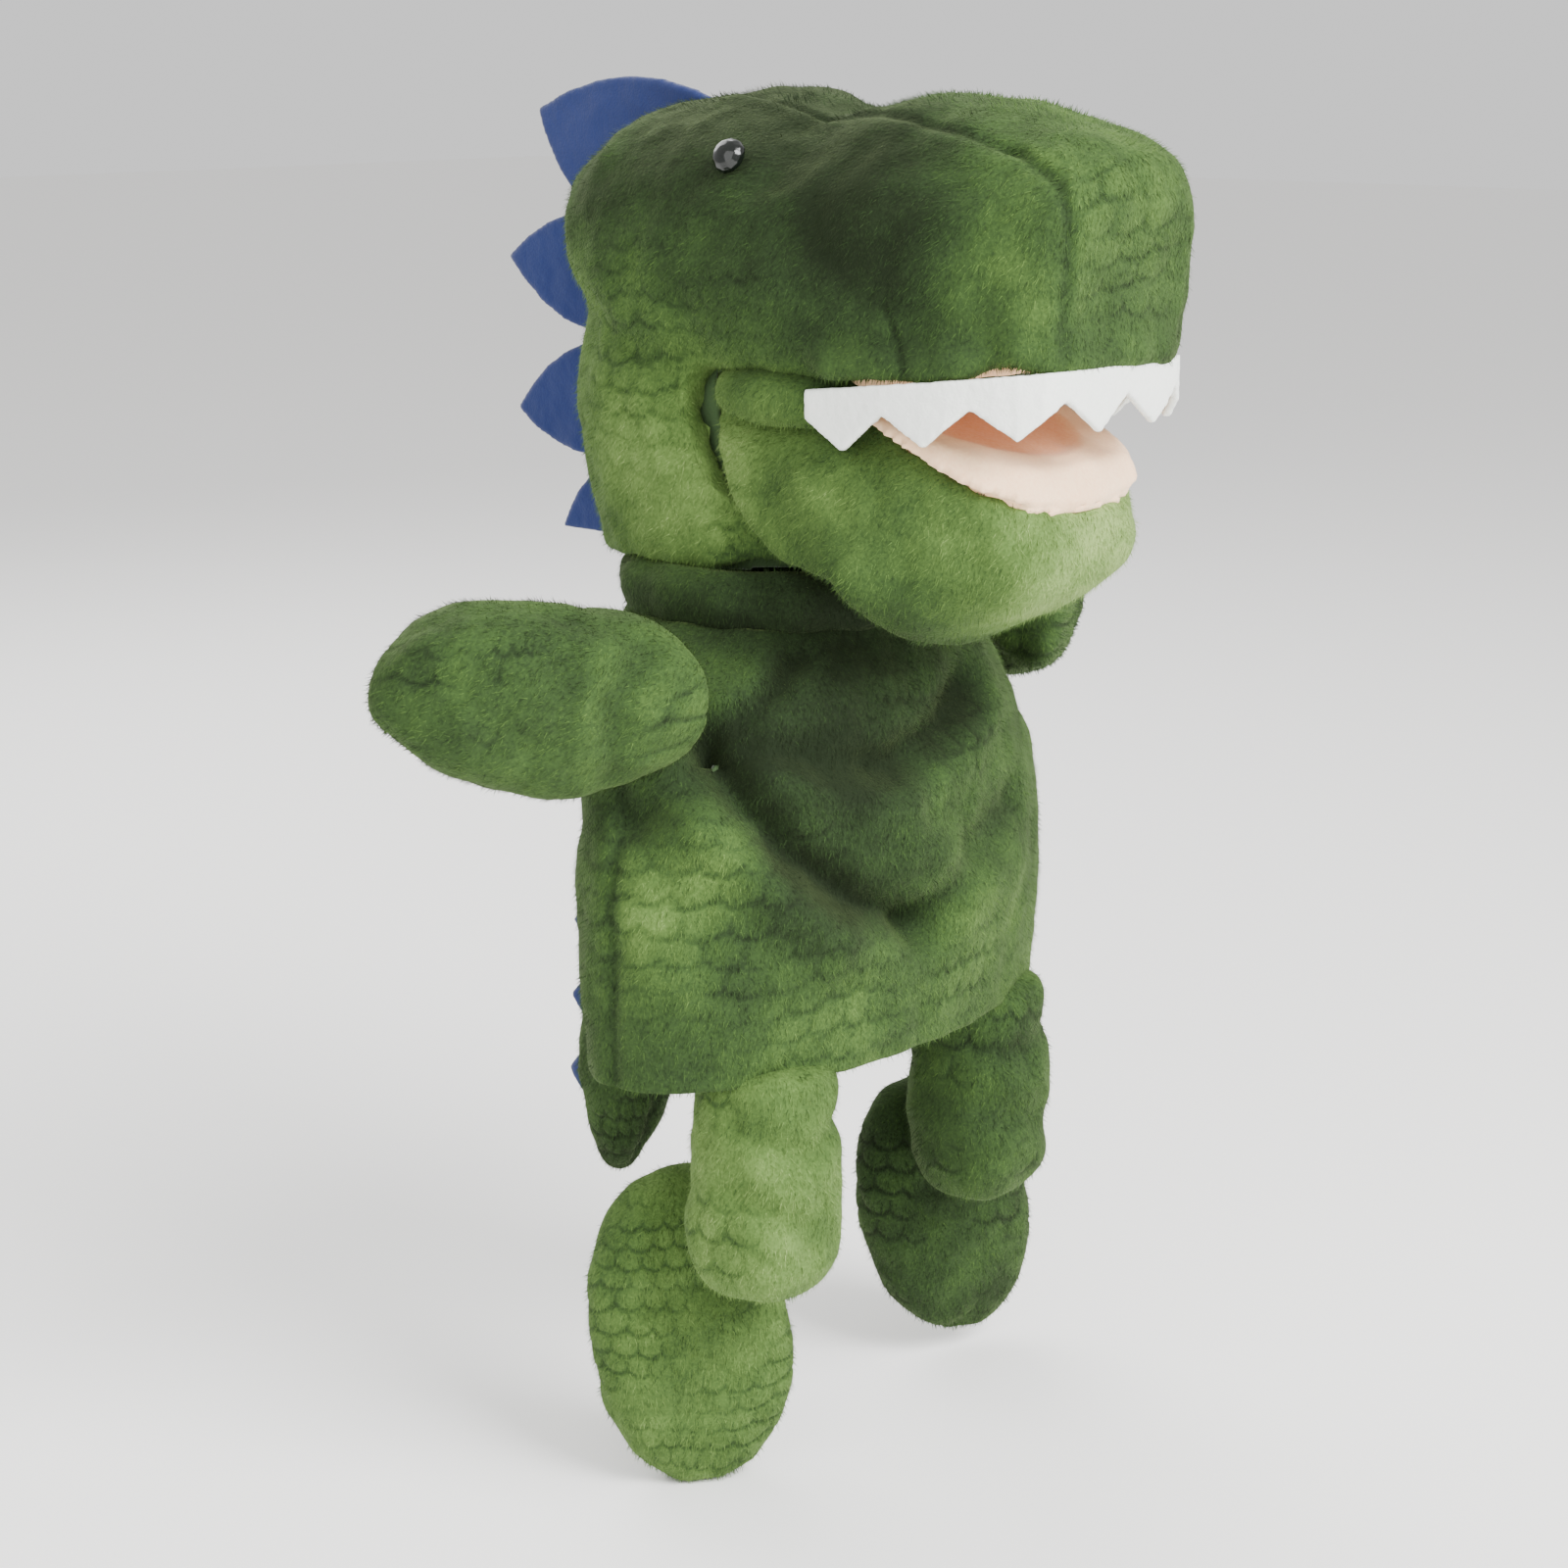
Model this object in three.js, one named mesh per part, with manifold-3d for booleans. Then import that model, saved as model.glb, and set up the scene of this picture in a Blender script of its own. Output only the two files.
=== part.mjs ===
// A dinosaur hand puppet: a plush sleeve with a stuffed, mouth-moving head, stuffed limbs and a felt back ridge.
// Millimetres. +Z is up and the puppet faces -Y, so its own left side is +X.
// The origin is the middle of the hand opening, in the plane of the hem.
import * as THREE from "three";
import { mergeVertices } from "three/addons/utils/BufferGeometryUtils.js";
import Module from "manifold-3d";

const wasm = await Module();
wasm.setup();

// Driving dimensions
const plush = 2.4; // thickness of the pile fabric, backing and pile together
const felt = 2.6; // thickness of a felt spike, two layers
const liningCloth = 1.2;
const board = 1.6; // palate boards
const seamGap = 0.4; // between two panels that are sewn together
const layerGap = 0.3; // between two layers that lie on each other
const jointGap = 1.2; // between two bodies that turn against each other

const sleeveWidth = 146;
const sleeveDepth = 78;
const sleeveHeight = 100;
const sleeveMiddleY = 3;
const hemHeight = 13;

const neckY = 14; // the neck stands behind the sleeve's middle
const neckRadius = 33;
const neckHeight = 8;
const nodForward = 6; // degrees
const nodBack = 12;

const headLength = 144;
const headWidth = 88;
const headTop = 218;
const snoutFront = -83;
const gussetNarrow = 9; // half-width of the crown gusset at the crown
const gussetWide = 27; // and at the front of the snout

const mouthHingeY = -25;
const mouthHingeZ = 153.5;
const upperLipRise = 6.5; // degrees above level, from the mouth hinge forwards
const lowerLipDrop = 21; // degrees below level, at rest
const rimProud = 2.5; // how far the padded rim stands out over the jaw's skin
const rimRise = 6; // degrees that the padded lower rim stands above the lip, more towards the front
const jawReach = 48; // from the mouth hinge to the jaw's lip
const jawHub = 36; // radius of the round back of the jaw about the hinge
const jawDepth = 44;
const throatSlope = 15; // degrees forwards from straight down, from the mouth hinge to the throat

const toothBand = 6.2;
const toothDrop = 7.4;
const toothCount = 8;
const teethFelt = 2;
const lipShare = 10 / 11; // the head's width at the lip, as a share of its widest

const eyeDiameter = 8;
const eyeY = -2;
const eyeZ = 202;
const eyeStem = 1.3;
const washerRadius = 5;

const armLength = 60;
const armThickness = 42;
const armZ = 92;
const armSwing = { right: 30, left: 38 }; // degrees that each arm points backwards from sideways

const legSpacing = 82; // between the two legs' middles
const legThickness = 34;
const legLength = 54;
const footWidth = 50;
const footLength = 77;
const footThickness = 24;
const ankleSwing = 18; // degrees each way
const footPose = {
  right: { face: -36, roll: 9, out: 3, forward: 2 },
  left: { face: -16, roll: 20, out: 14, forward: 3 },
};

const tailLength = 84;
const tailThickness = 27;
const tailTop = 25; // above the hem
const tailGap = 5; // from the back of the sleeve
const tailLean = 9; // degrees backwards from straight down

const roundSides = 16;
const roundRings = 8;
const sleeveSides = 32;

// Colours
const green = 0x45692f;
const darkGreen = 0x36562a;
const blue = 0x2f4580;
const peach = 0xf0cdb0;
const white = 0xe8ebe4;
const batting = 0xf4f2ea;
const lining = 0x3a4a38;
const boardBuff = 0xcfc3a4;
const sole = 0x7d8b4e;

const degrees = THREE.MathUtils.degToRad;
const puppet = new THREE.Group();

// Solids

function solidOf(geometry) {
  const bare = geometry.index ? geometry.toNonIndexed() : geometry.clone();
  bare.deleteAttribute("normal");
  bare.deleteAttribute("uv");
  const merged = mergeVertices(bare, 1e-3);
  return new wasm.Manifold(
    new wasm.Mesh({
      numProp: 3,
      vertProperties: merged.attributes.position.array,
      triVerts: new Uint32Array(merged.index.array),
    }),
  );
}

function geometryOf(solid) {
  const mesh = solid.getMesh();
  const geometry = new THREE.BufferGeometry();
  geometry.setAttribute("position", new THREE.BufferAttribute(mesh.vertProperties, 3));
  geometry.setIndex(new THREE.BufferAttribute(mesh.triVerts, 1));
  geometry.computeVertexNormals();
  return geometry;
}

function addPiece(name, solid, colour, roughness = 0.95) {
  const material = new THREE.MeshStandardMaterial({ color: colour, roughness, metalness: 0 });
  const piece = new THREE.Mesh(geometryOf(solid), material);
  piece.name = name;
  puppet.add(piece);
  return piece;
}

function eachVertex(geometry, move) {
  const place = geometry.attributes.position;
  const vertex = new THREE.Vector3();
  for (let i = 0; i < place.count; i++) {
    move(vertex.fromBufferAttribute(place, i));
    place.setXYZ(i, vertex.x, vertex.y, vertex.z);
  }
  return geometry;
}

// A stuffed form: a sphere drawn out along a curve through the stations, each [x, y, z, halfWidth, halfHeight].
// side is the direction of the width. Inset makes the next layer inwards. Blunt is how full the ends are.
function stuffedForm(stations, options) {
  const { side = [1, 0, 0], inset = 0, blunt = 3, square = 2.3 } = options;
  const { sides = roundSides, rings = roundRings } = options;
  const centre = new THREE.CatmullRomCurve3(stations.map(([x, y, z]) => new THREE.Vector3(x, y, z)));
  const size = new THREE.CatmullRomCurve3(stations.map((s) => new THREE.Vector3(s[3], s[4], 0)));
  const shortening = Math.max(inset, 0) / centre.getLength();
  const width = new THREE.Vector3(...side).normalize();
  const along = new THREE.Vector3();
  const height = new THREE.Vector3();
  const round = (value) => Math.sign(value) * Math.abs(value) ** (2 / square);
  const form = new THREE.SphereGeometry(1, sides, rings);
  eachVertex(form, (vertex) => {
    const level = THREE.MathUtils.clamp(vertex.y, -1, 1);
    const t = shortening + ((1 - level) / 2) * (1 - 2 * shortening);
    const swell = (1 - Math.abs(level) ** blunt) ** (1 / blunt);
    const radius = Math.hypot(vertex.x, vertex.z) || 1;
    const across = round(vertex.x / radius);
    const up = round(vertex.z / radius);
    const half = size.getPoint(t);
    along.copy(centre.getTangent(t)).negate();
    height.crossVectors(width, along).normalize();
    const here = centre.getPoint(t);
    here.addScaledVector(width, across * swell * (half.x - inset));
    vertex.copy(here.addScaledVector(height, up * swell * (half.y - inset)));
  });
  return solidOf(form);
}

// The matrix of a turn about an axis along X.
function turnAbout(y, z, angle) {
  const turn = new THREE.Matrix4().makeTranslation(0, y, z);
  turn.multiply(new THREE.Matrix4().makeRotationX(degrees(angle)));
  return turn.multiply(new THREE.Matrix4().makeTranslation(0, -y, -z)).toArray();
}

// A box between two corners, used to cut panels apart.
function block(low, high) {
  const size = high.map((value, i) => value - low[i]);
  const middle = high.map((value, i) => (value + low[i]) / 2);
  return solidOf(new THREE.BoxGeometry(...size).translate(...middle));
}

// A cylinder along X about the mouth hinge.
function hingeDrum(radius, length) {
  const drum = new THREE.CylinderGeometry(radius, radius, length, 48);
  return solidOf(drum.rotateZ(Math.PI / 2).translate(0, mouthHingeY, mouthHingeZ));
}

// Sleeve: a flattened tube that narrows to the neck. Each level is [height, middle y, halfWidth, halfDepth].
const sides = [["right", -1], ["left", 1]];
const halfWidth = sleeveWidth / 2;
const halfDepth = sleeveDepth / 2;
const sleeveLevels = [
  [0, sleeveMiddleY, halfWidth - 1, halfDepth - 4],
  [sleeveHeight * 0.3, sleeveMiddleY, halfWidth, halfDepth],
  [sleeveHeight * 0.6, sleeveMiddleY + 2, halfWidth - 3, halfDepth],
  [sleeveHeight * 0.8, sleeveMiddleY + 6, halfWidth - 8, halfDepth - 1],
  [sleeveHeight * 0.92, neckY - 2, halfWidth - 20, neckRadius + 3],
  [sleeveHeight, neckY, neckRadius + plush, neckRadius + plush],
];

const sleeveBands = 8; // every layer turns at the same heights, so that the layers stay parallel

function sleeveTube(low, high, inset, thickness) {
  const curve = new THREE.CatmullRomCurve3(sleeveLevels.map(([z, y, a]) => new THREE.Vector3(a, y, z)));
  const depths = new THREE.CatmullRomCurve3(sleeveLevels.map(([z, , , b]) => new THREE.Vector3(b, 0, z)));
  const turns = Array.from({ length: sleeveBands }, (_, i) => (sleeveHeight * i) / sleeveBands);
  const heights = [low, ...turns.filter((z) => z > low + 1 && z < high - 1), high];
  const outer = heights.map((z) => new THREE.Vector2(2, z));
  const inner = outer.map(({ y }) => new THREE.Vector2(1, y)).reverse();
  const tube = new THREE.LatheGeometry([...outer, ...inner, outer[0]], sleeveSides).rotateX(Math.PI / 2);
  eachVertex(tube, (vertex) => {
    const wall = Math.hypot(vertex.x, vertex.y) > 1.5 ? inset : inset + thickness;
    const t = sleeveAt(curve, vertex.z);
    const half = curve.getPoint(t);
    const angle = Math.atan2(vertex.y, vertex.x);
    vertex.x = (half.x - wall) * Math.cos(angle);
    vertex.y = half.y + (depths.getPoint(t).x - wall) * Math.sin(angle);
  });
  return solidOf(tube);
}

// Where along the curve it reaches a height, by halving.
function sleeveAt(curve, height) {
  let low = 0;
  let high = 1;
  for (let i = 0; i < 24; i++) {
    const middle = (low + high) / 2;
    if (curve.getPoint(middle).z < height) low = middle;
    else high = middle;
  }
  return (low + high) / 2;
}

const far = 300;
const sleeve = sleeveTube(0, sleeveHeight, 0, plush);
const liningInset = plush + layerGap;
addPiece("body_front", sleeve.intersect(block([-far, -far, -far], [far, sleeveMiddleY - seamGap / 2, far])), green);
const bodyBack = sleeve.intersect(block([-far, sleeveMiddleY + seamGap / 2, -far], [far, far, far]));
addPiece("body_back", bodyBack, green);
const liningLow = hemHeight + layerGap;
const liningHigh = sleeveHeight - sleeveHeight / sleeveBands;
addPiece("sleeve_lining", sleeveTube(liningLow, liningHigh, liningInset, liningCloth), lining);
addPiece("hem_band", sleeveTube(0, hemHeight, liningInset, plush), darkGreen);

// Neck ring
function ringAbout(y, inner, outer, low, high) {
  const section = [
    [outer, low],
    [outer, high],
    [inner, high],
    [inner, low],
    [outer, low],
  ];
  const ring = new THREE.LatheGeometry(section.map(([r, h]) => new THREE.Vector2(r, h)), sleeveSides);
  return solidOf(ring.rotateX(Math.PI / 2).translate(0, y, 0));
}

const neckLow = sleeveHeight + layerGap;
const neckTop = neckLow + neckHeight;
const nodZ = neckLow + neckHeight / 2;
addPiece("neck_panel", ringAbout(neckY, neckRadius - plush, neckRadius, neckLow, neckTop), green);

// Head: the cranium and snout run forwards, the nape runs up from the neck.
const crownY = 24; // the cranium's highest point
const headBack = snoutFront + headLength;
const headHalf = headWidth / 2;
const headLow = neckTop + jointGap;

function headForm(inset) {
  const crown = headTop - 38;
  const skull = stuffedForm(
    [
      [0, headBack - 3, crown - 16, headHalf - 16, 20],
      [0, headBack - 16, crown - 5, headHalf - 6, 33],
      [0, crownY, crown, headHalf - 1, 38.5],
      [0, mouthHingeY + 12, crown - 2, headHalf - 1, 36.5],
      [0, (snoutFront + mouthHingeY) / 2 + 8, crown, headHalf - 4, 37],
      [0, snoutFront + 18, crown + 2, headHalf - 8, 31],
      [0, snoutFront, crown - 3, headHalf - 8, 31],
    ],
    { inset, blunt: 4.4, square: 2.4, sides: 20, rings: 12 },
  );
  const nape = stuffedForm(
    [
      [0, neckY + 3, headLow - 24, headHalf - 10, 34],
      [0, neckY + 7, headLow + 8, headHalf - 7, 39],
      [0, neckY + 11, headLow + 38, headHalf - 4, 42],
      [0, neckY + 9, headLow + 76, headHalf - 8, 38],
    ],
    { inset, blunt: 4, square: 2.1 },
  );
  return skull.add(nape);
}

// Everything below the upper lip and in front of the nape is left to the jaw.
function belowUpperLip(clearance) {
  const slab = new THREE.BoxGeometry(far, far, far).translate(0, -far / 2, -far / 2 - clearance);
  slab.rotateX(degrees(-upperLipRise)).translate(0, mouthHingeY, mouthHingeZ + jointGap);
  return solidOf(slab);
}

function jawSpace() {
  const hub = hingeDrum(jawHub + jointGap, far);
  const behind = block([-far, -far, -far], [far, far, mouthHingeZ + jointGap]);
  return belowUpperLip(0).add(hub.intersect(behind));
}

// The neck ring's own space, swept through the nod.
function neckSweep() {
  const reach = neckRadius + jointGap;
  const post = new THREE.CylinderGeometry(reach, reach, far, 32).rotateX(Math.PI / 2);
  const ring = solidOf(post.translate(0, neckY, headLow - far / 2));
  const turns = [-nodForward, nodBack].map((angle) => ring.transform(turnAbout(neckY, nodZ, angle)));
  return turns.reduce((whole, one) => whole.add(one));
}

const neckEnd = block([-far, -far, -far], [far, far, headLow]);
const keepClear = jawSpace().add(neckEnd).add(neckSweep());

// The hollow that takes the fingers: up through the neck and forwards over the palate.
function fingerSpace(inset) {
  const passage = stuffedForm(
    [
      [0, neckY, headLow - 40, neckRadius - 6, neckRadius - 6],
      [0, neckY + 2, headLow + 20, neckRadius - 6, neckRadius - 5],
      [0, neckY + 2, headLow + 70, neckRadius - 6, neckRadius - 8],
    ],
    { inset, blunt: 5, rings: 7 },
  );
  const pocket = stuffedForm(
    [
      [0, neckY + 12, mouthHingeZ + 17, 26, 11],
      [0, mouthHingeY, mouthHingeZ + 15.5, 30, 10],
      [0, snoutFront + 22, mouthHingeZ + 19, 25, 9],
    ],
    { inset, blunt: 5, square: 2.6, rings: 7 },
  );
  return passage.add(pocket);
}

// Upper palate: a fleece lining and, on its inside, a board that the fingers press.
const lipInset = plush + layerGap;
const palateLining = 2.2;
const boardLow = palateLining + layerGap;
const boardHigh = boardLow + board;

// A flat layer along a lip plane, between two depths measured into the jaw from that plane.
function palateSlab(low, high, tilt, way) {
  const slab = new THREE.BoxGeometry(far, far, high - low).translate(0, -far / 2 - 4, (way * (low + high)) / 2);
  return solidOf(slab.rotateX(degrees(tilt)).translate(0, mouthHingeY, mouthHingeZ + way * jointGap));
}

const upperSlab = (low, high) => palateSlab(low, high, -upperLipRise, 1);
const lowerSlab = (low, high) => palateSlab(low, high, lowerLipDrop, -1);
addPiece("mouth_lining_upper", headForm(lipInset).intersect(upperSlab(0, palateLining)), peach);
addPiece("palate_board_upper", headForm(lipInset + 4).intersect(upperSlab(boardLow, boardHigh)), boardBuff);

const headSkin = headForm(0).subtract(headForm(plush)).subtract(keepClear);
const palateStack = upperSlab(-far / 2, boardHigh + layerGap);
const aroundPocket = keepClear.add(palateStack);
const headStuffing = headForm(lipInset).subtract(aroundPocket).subtract(fingerSpace(0));
const pocketWall = fingerSpace(layerGap).subtract(fingerSpace(layerGap + liningCloth));
const fingerPocket = pocketWall.subtract(aroundPocket);

// Panels of the head: a crown gusset that widens to the snout, and two sides.
function gussetSpace(grow) {
  const plan = new THREE.Shape([
    new THREE.Vector2(-gussetNarrow - grow, headBack - 18),
    new THREE.Vector2(-gussetNarrow - grow, crownY),
    new THREE.Vector2(-gussetWide - grow, snoutFront + 24),
    new THREE.Vector2(-gussetWide - grow, snoutFront - 20),
    new THREE.Vector2(gussetWide + grow, snoutFront - 20),
    new THREE.Vector2(gussetWide + grow, snoutFront + 24),
    new THREE.Vector2(gussetNarrow + grow, crownY),
    new THREE.Vector2(gussetNarrow + grow, headBack - 18),
  ]);
  const column = new THREE.ExtrudeGeometry(plan, { depth: far, bevelEnabled: false });
  return solidOf(column.translate(0, 0, mouthHingeZ + jointGap));
}

// Eyes sit on the head's surface, found by a ray from the side.
const headSurface = new THREE.Mesh(geometryOf(headForm(0)), new THREE.MeshBasicMaterial());
const eyeSpots = [-1, 1].map((way) => {
  const start = new THREE.Vector3(way * far, eyeY, eyeZ);
  const hit = new THREE.Raycaster(start, new THREE.Vector3(-way, 0, 0)).intersectObject(headSurface)[0];
  return { name: way < 0 ? "right" : "left", point: hit.point, normal: hit.face.normal.clone() };
});

function turned(points, spot) {
  const profile = points.map(([r, h]) => new THREE.Vector2(r, h));
  const body = new THREE.LatheGeometry(profile, 12);
  const up = new THREE.Vector3(0, 1, 0);
  body.applyQuaternion(new THREE.Quaternion().setFromUnitVectors(up, spot.normal));
  return solidOf(body.translate(spot.point.x, spot.point.y, spot.point.z));
}

const eyeRadius = eyeDiameter / 2;
const washerDepth = 8; // below the head's surface
let skin = headSkin;
let stuffing = headStuffing;
for (const spot of eyeSpots) {
  const seat = 0.4;
  const dome = [
    [0, -washerDepth - 3],
    [eyeStem, -washerDepth - 3],
    [eyeStem, seat],
    [eyeRadius, seat],
    [eyeRadius * 0.94, seat + 1.3],
    [eyeRadius * 0.7, seat + 2.6],
    [eyeRadius * 0.35, seat + 3.2],
    [0, seat + 3.4],
  ];
  const washer = [
    [eyeStem + 0.15, -washerDepth],
    [washerRadius, -washerDepth],
    [washerRadius, -washerDepth + 1.4],
    [eyeStem + 0.15, -washerDepth + 1.4],
    [eyeStem + 0.15, -washerDepth],
  ];
  const hole = [
    [0, -washerDepth - 4],
    [washerRadius + layerGap, -washerDepth - 4],
    [washerRadius + layerGap, -washerDepth + 1.4 + layerGap],
    [eyeStem + layerGap, -washerDepth + 1.4 + layerGap],
    [eyeStem + layerGap, 8],
    [0, 8],
  ];
  addPiece(`eye_${spot.name}`, turned(dome, spot), 0x101210, 0.12);
  addPiece(`eye_washer_${spot.name}`, turned(washer, spot), 0xdedede, 0.5);
  const space = turned(hole, spot);
  skin = skin.subtract(space);
  stuffing = stuffing.subtract(space);
}

addPiece("head_filling", stuffing, batting);
addPiece("finger_pocket", fingerPocket, lining);
addPiece("head_gusset", skin.intersect(gussetSpace(0)), green);
for (const [name, way] of sides) {
  const half = block([way < 0 ? -far : seamGap / 2, -far, -far], [way < 0 ? -seamGap / 2 : far, far, far]);
  addPiece(`head_side_${name}`, skin.intersect(half).subtract(gussetSpace(seamGap)), green);
}

// Lower jaw
function jawForm(inset) {
  const frontY = mouthHingeY - jawReach;
  const level = mouthHingeZ - 27;
  return stuffedForm(
    [
      [0, mouthHingeY + 60, level + 5, headHalf - 9, jawDepth / 2 + 4],
      [0, mouthHingeY + 8, level + 3, headHalf - 7, jawDepth / 2 + 6],
      [0, mouthHingeY - 20, level, headHalf - 9, jawDepth / 2 + 5],
      [0, frontY + 12, level + 3, headHalf - 13, jawDepth / 2 - 1],
      [0, frontY, level + 8, headHalf - 18, jawDepth / 2 - 6],
    ],
    { inset, blunt: 4, square: 2.5 },
  );
}

// The jaw fills a round hub about its hinge and everything in front of it, under the lower lip.
function jawLimits(inset, drop = lowerLipDrop) {
  const slab = new THREE.BoxGeometry(far, 2 * far, far).translate(0, -far / 2, -far / 2);
  const underLip = solidOf(slab.rotateX(degrees(drop)).translate(0, mouthHingeY, mouthHingeZ - jointGap));
  const chin = new THREE.BoxGeometry(2 * far, far, 2 * far).translate(0, -far / 2, 0).rotateX(degrees(-throatSlope));
  const front = solidOf(chin.translate(0, mouthHingeY, mouthHingeZ));
  const level = block([-far, -far, -far], [far, far, mouthHingeZ - jointGap - 3]);
  return hingeDrum(jawHub - inset, far).intersect(level).add(front).intersect(underLip);
}

function thumbSpace(inset) {
  return stuffedForm(
    [
      [0, mouthHingeY + 40, mouthHingeZ - 18, 20, 9],
      [0, mouthHingeY, mouthHingeZ - 19, 20, 9],
      [0, mouthHingeY - jawReach + 14, mouthHingeZ - 26, 16, 7],
    ],
    { inset, blunt: 5, rings: 6 },
  );
}

const jawSpaceInside = jawLimits(0);
const underBoard = lowerSlab(boardHigh + layerGap, far / 2).add(block([-far, mouthHingeY + 4, -far], [far, far, far]));
const thumbPocket = thumbSpace(layerGap).subtract(thumbSpace(layerGap + liningCloth));
const jawShell = jawForm(0).subtract(jawForm(plush));
const rimSpace = jawLimits(0, lowerLipDrop - rimRise).intersect(block([-far, -far, -far], [far, mouthHingeY - 4, far]));
const rim = jawForm(-rimProud).intersect(rimSpace).subtract(lowerSlab(-layerGap, far / 2));
const lowerLining = jawForm(lipInset).intersect(lowerSlab(-1, palateLining)).add(rim);
const lowerBoard = jawForm(lipInset + 4).intersect(lowerSlab(boardLow, boardHigh));
const jawStuffing = jawForm(lipInset).intersect(underBoard).subtract(thumbSpace(0));
addPiece("jaw_panel", jawShell.intersect(jawSpaceInside), green);
addPiece("mouth_lining_lower", lowerLining, peach);
addPiece("palate_board_lower", lowerBoard.intersect(jawSpaceInside), boardBuff);
addPiece("jaw_filling", jawStuffing.intersect(jawSpaceInside), batting);
addPiece("thumb_pocket", thumbPocket.intersect(underBoard).intersect(jawSpaceInside), lining);

// Teeth: one strip of felt with a zigzag edge, bent round the upper lip just inside its skin.
function teethStrip() {
  const lipHalf = headHalf * lipShare;
  const inside = plush / 2 + teethFelt;
  const half = [
    [lipHalf - inside, mouthHingeY + 2],
    [lipHalf * 0.975 - inside, mouthHingeY - 24],
    [lipHalf * 0.9 - inside, snoutFront + 22],
    [lipHalf * 0.675 - inside, snoutFront + inside + 3],
  ];
  const other = half.map(([x, y]) => [-x, y]).reverse();
  const outline = new THREE.CatmullRomCurve3(
    [...half, [0, snoutFront + inside], ...other].map(([x, y]) => new THREE.Vector3(x, y, 0)),
  );
  const steps = toothCount * 4;
  const strip = new THREE.BoxGeometry(1, 1, 1, steps, 1, 2);
  eachVertex(strip, (vertex) => {
    const t = vertex.x + 0.5;
    const here = outline.getPointAt(t);
    const ahead = outline.getTangentAt(t);
    const phase = (t * toothCount) % 1;
    const tooth = toothDrop * (1 - Math.abs(2 * phase - 1));
    const across = vertex.y * teethFelt;
    const rise = (mouthHingeY - here.y) * Math.tan(degrees(upperLipRise));
    const top = mouthHingeZ + jointGap + rise - layerGap;
    const drops = { "-0.5": toothBand + tooth, 0: toothBand, 0.5: 0 };
    vertex.set(here.x - ahead.y * across, here.y + ahead.x * across, top - drops[vertex.z]);
  });
  return solidOf(strip);
}

addPiece("teeth_strip", teethStrip(), white);

// Back ridge: felt leaves in the middle seam. Each leaf has a base on the seam and a tip, as [y, z].
function leaf(baseLow, baseHigh, tip) {
  const bulge = (from, to, amount) => {
    const middle = from.clone().lerp(to, 0.5);
    const normal = new THREE.Vector2(to.y - from.y, from.x - to.x).normalize();
    return middle.addScaledVector(normal, amount);
  };
  const [low, high, point] = [baseLow, baseHigh, tip].map(([y, z]) => new THREE.Vector2(y, z));
  const shape = new THREE.Shape();
  const swell = point.distanceTo(low.clone().lerp(high, 0.5)) * 0.3;
  const lowSide = bulge(low, point, swell);
  const highSide = bulge(point, high, swell);
  shape.moveTo(low.x, low.y);
  shape.quadraticCurveTo(lowSide.x, lowSide.y, point.x, point.y);
  shape.quadraticCurveTo(highSide.x, highSide.y, high.x, high.y);
  shape.closePath();
  const plate = new THREE.ExtrudeGeometry(shape, { depth: felt, bevelEnabled: false, curveSegments: 6 });
  plate.translate(0, 0, -felt / 2);
  return solidOf(plate.applyMatrix4(new THREE.Matrix4().makeBasis(
    new THREE.Vector3(0, 1, 0),
    new THREE.Vector3(0, 0, 1),
    new THREE.Vector3(1, 0, 0),
  )));
}

const headLeaves = [
  { low: [headBack - 2, headTop - 33], high: [crownY + 8, headTop - 4], tip: [92, 213] },
  { low: [headBack, headTop - 60], high: [headBack - 2, headTop - 34], tip: [103, 175] },
  { low: [headBack, headTop - 87], high: [headBack, headTop - 61], tip: [101, 138] },
  { low: [headBack - 6, headLow], high: [headBack, headTop - 88], tip: [87, 108] },
];
const headTrim = headForm(-layerGap).add(neckEnd);
headLeaves.forEach(({ low, high, tip }, i) => {
  addPiece(`spike_${i + 1}`, leaf(low, high, tip).subtract(headTrim), blue);
});

// Limbs: a skin, open where it is sewn on, over a filling.

function skinAndFilling(stations, options, opening) {
  const outer = stuffedForm(stations, options);
  const under = stuffedForm(stations, { ...options, inset: plush });
  const core = stuffedForm(stations, { ...options, inset: lipInset });
  return { outer, core, skin: outer.subtract(under).subtract(opening) };
}

const armRoot = halfWidth - 4; // where the sleeve's side is at the arm's height
for (const [name, way] of sides) {
  const angle = degrees(armSwing[name]);
  const forward = [way * Math.cos(angle), Math.sin(angle)];
  const half = armThickness / 2;
  const station = (share, w, h, rise) => [
    way * armRoot + forward[0] * armLength * share,
    sleeveMiddleY - 8 + forward[1] * armLength * share,
    armZ + rise,
    half * w,
    half * h,
  ];
  const stations = [
    station(0, 0.62, 0.8, -5),
    station(0.35, 0.84, 0.98, -3),
    station(0.7, 0.84, 0.94, 2),
    station(1, 0.56, 0.62, 5),
  ];
  const options = { side: [-forward[1] * way, forward[0] * way, 0], blunt: 3 };
  const opening = block([way < 0 ? -armRoot - 4 : 0, -far, -far], [way < 0 ? 0 : armRoot + 4, far, far]);
  const { skin: armSkin, core } = skinAndFilling(stations, options, opening);
  addPiece(`arm_${name}_skin`, armSkin, green);
  addPiece(`arm_${name}_filling`, core, batting);
}

// Legs hang from the front of the hem, and each foot hangs behind the end of its leg.
const legY = -15;
const legTop = -layerGap;
const ankleZ = legTop - legLength + legThickness / 2;

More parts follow.
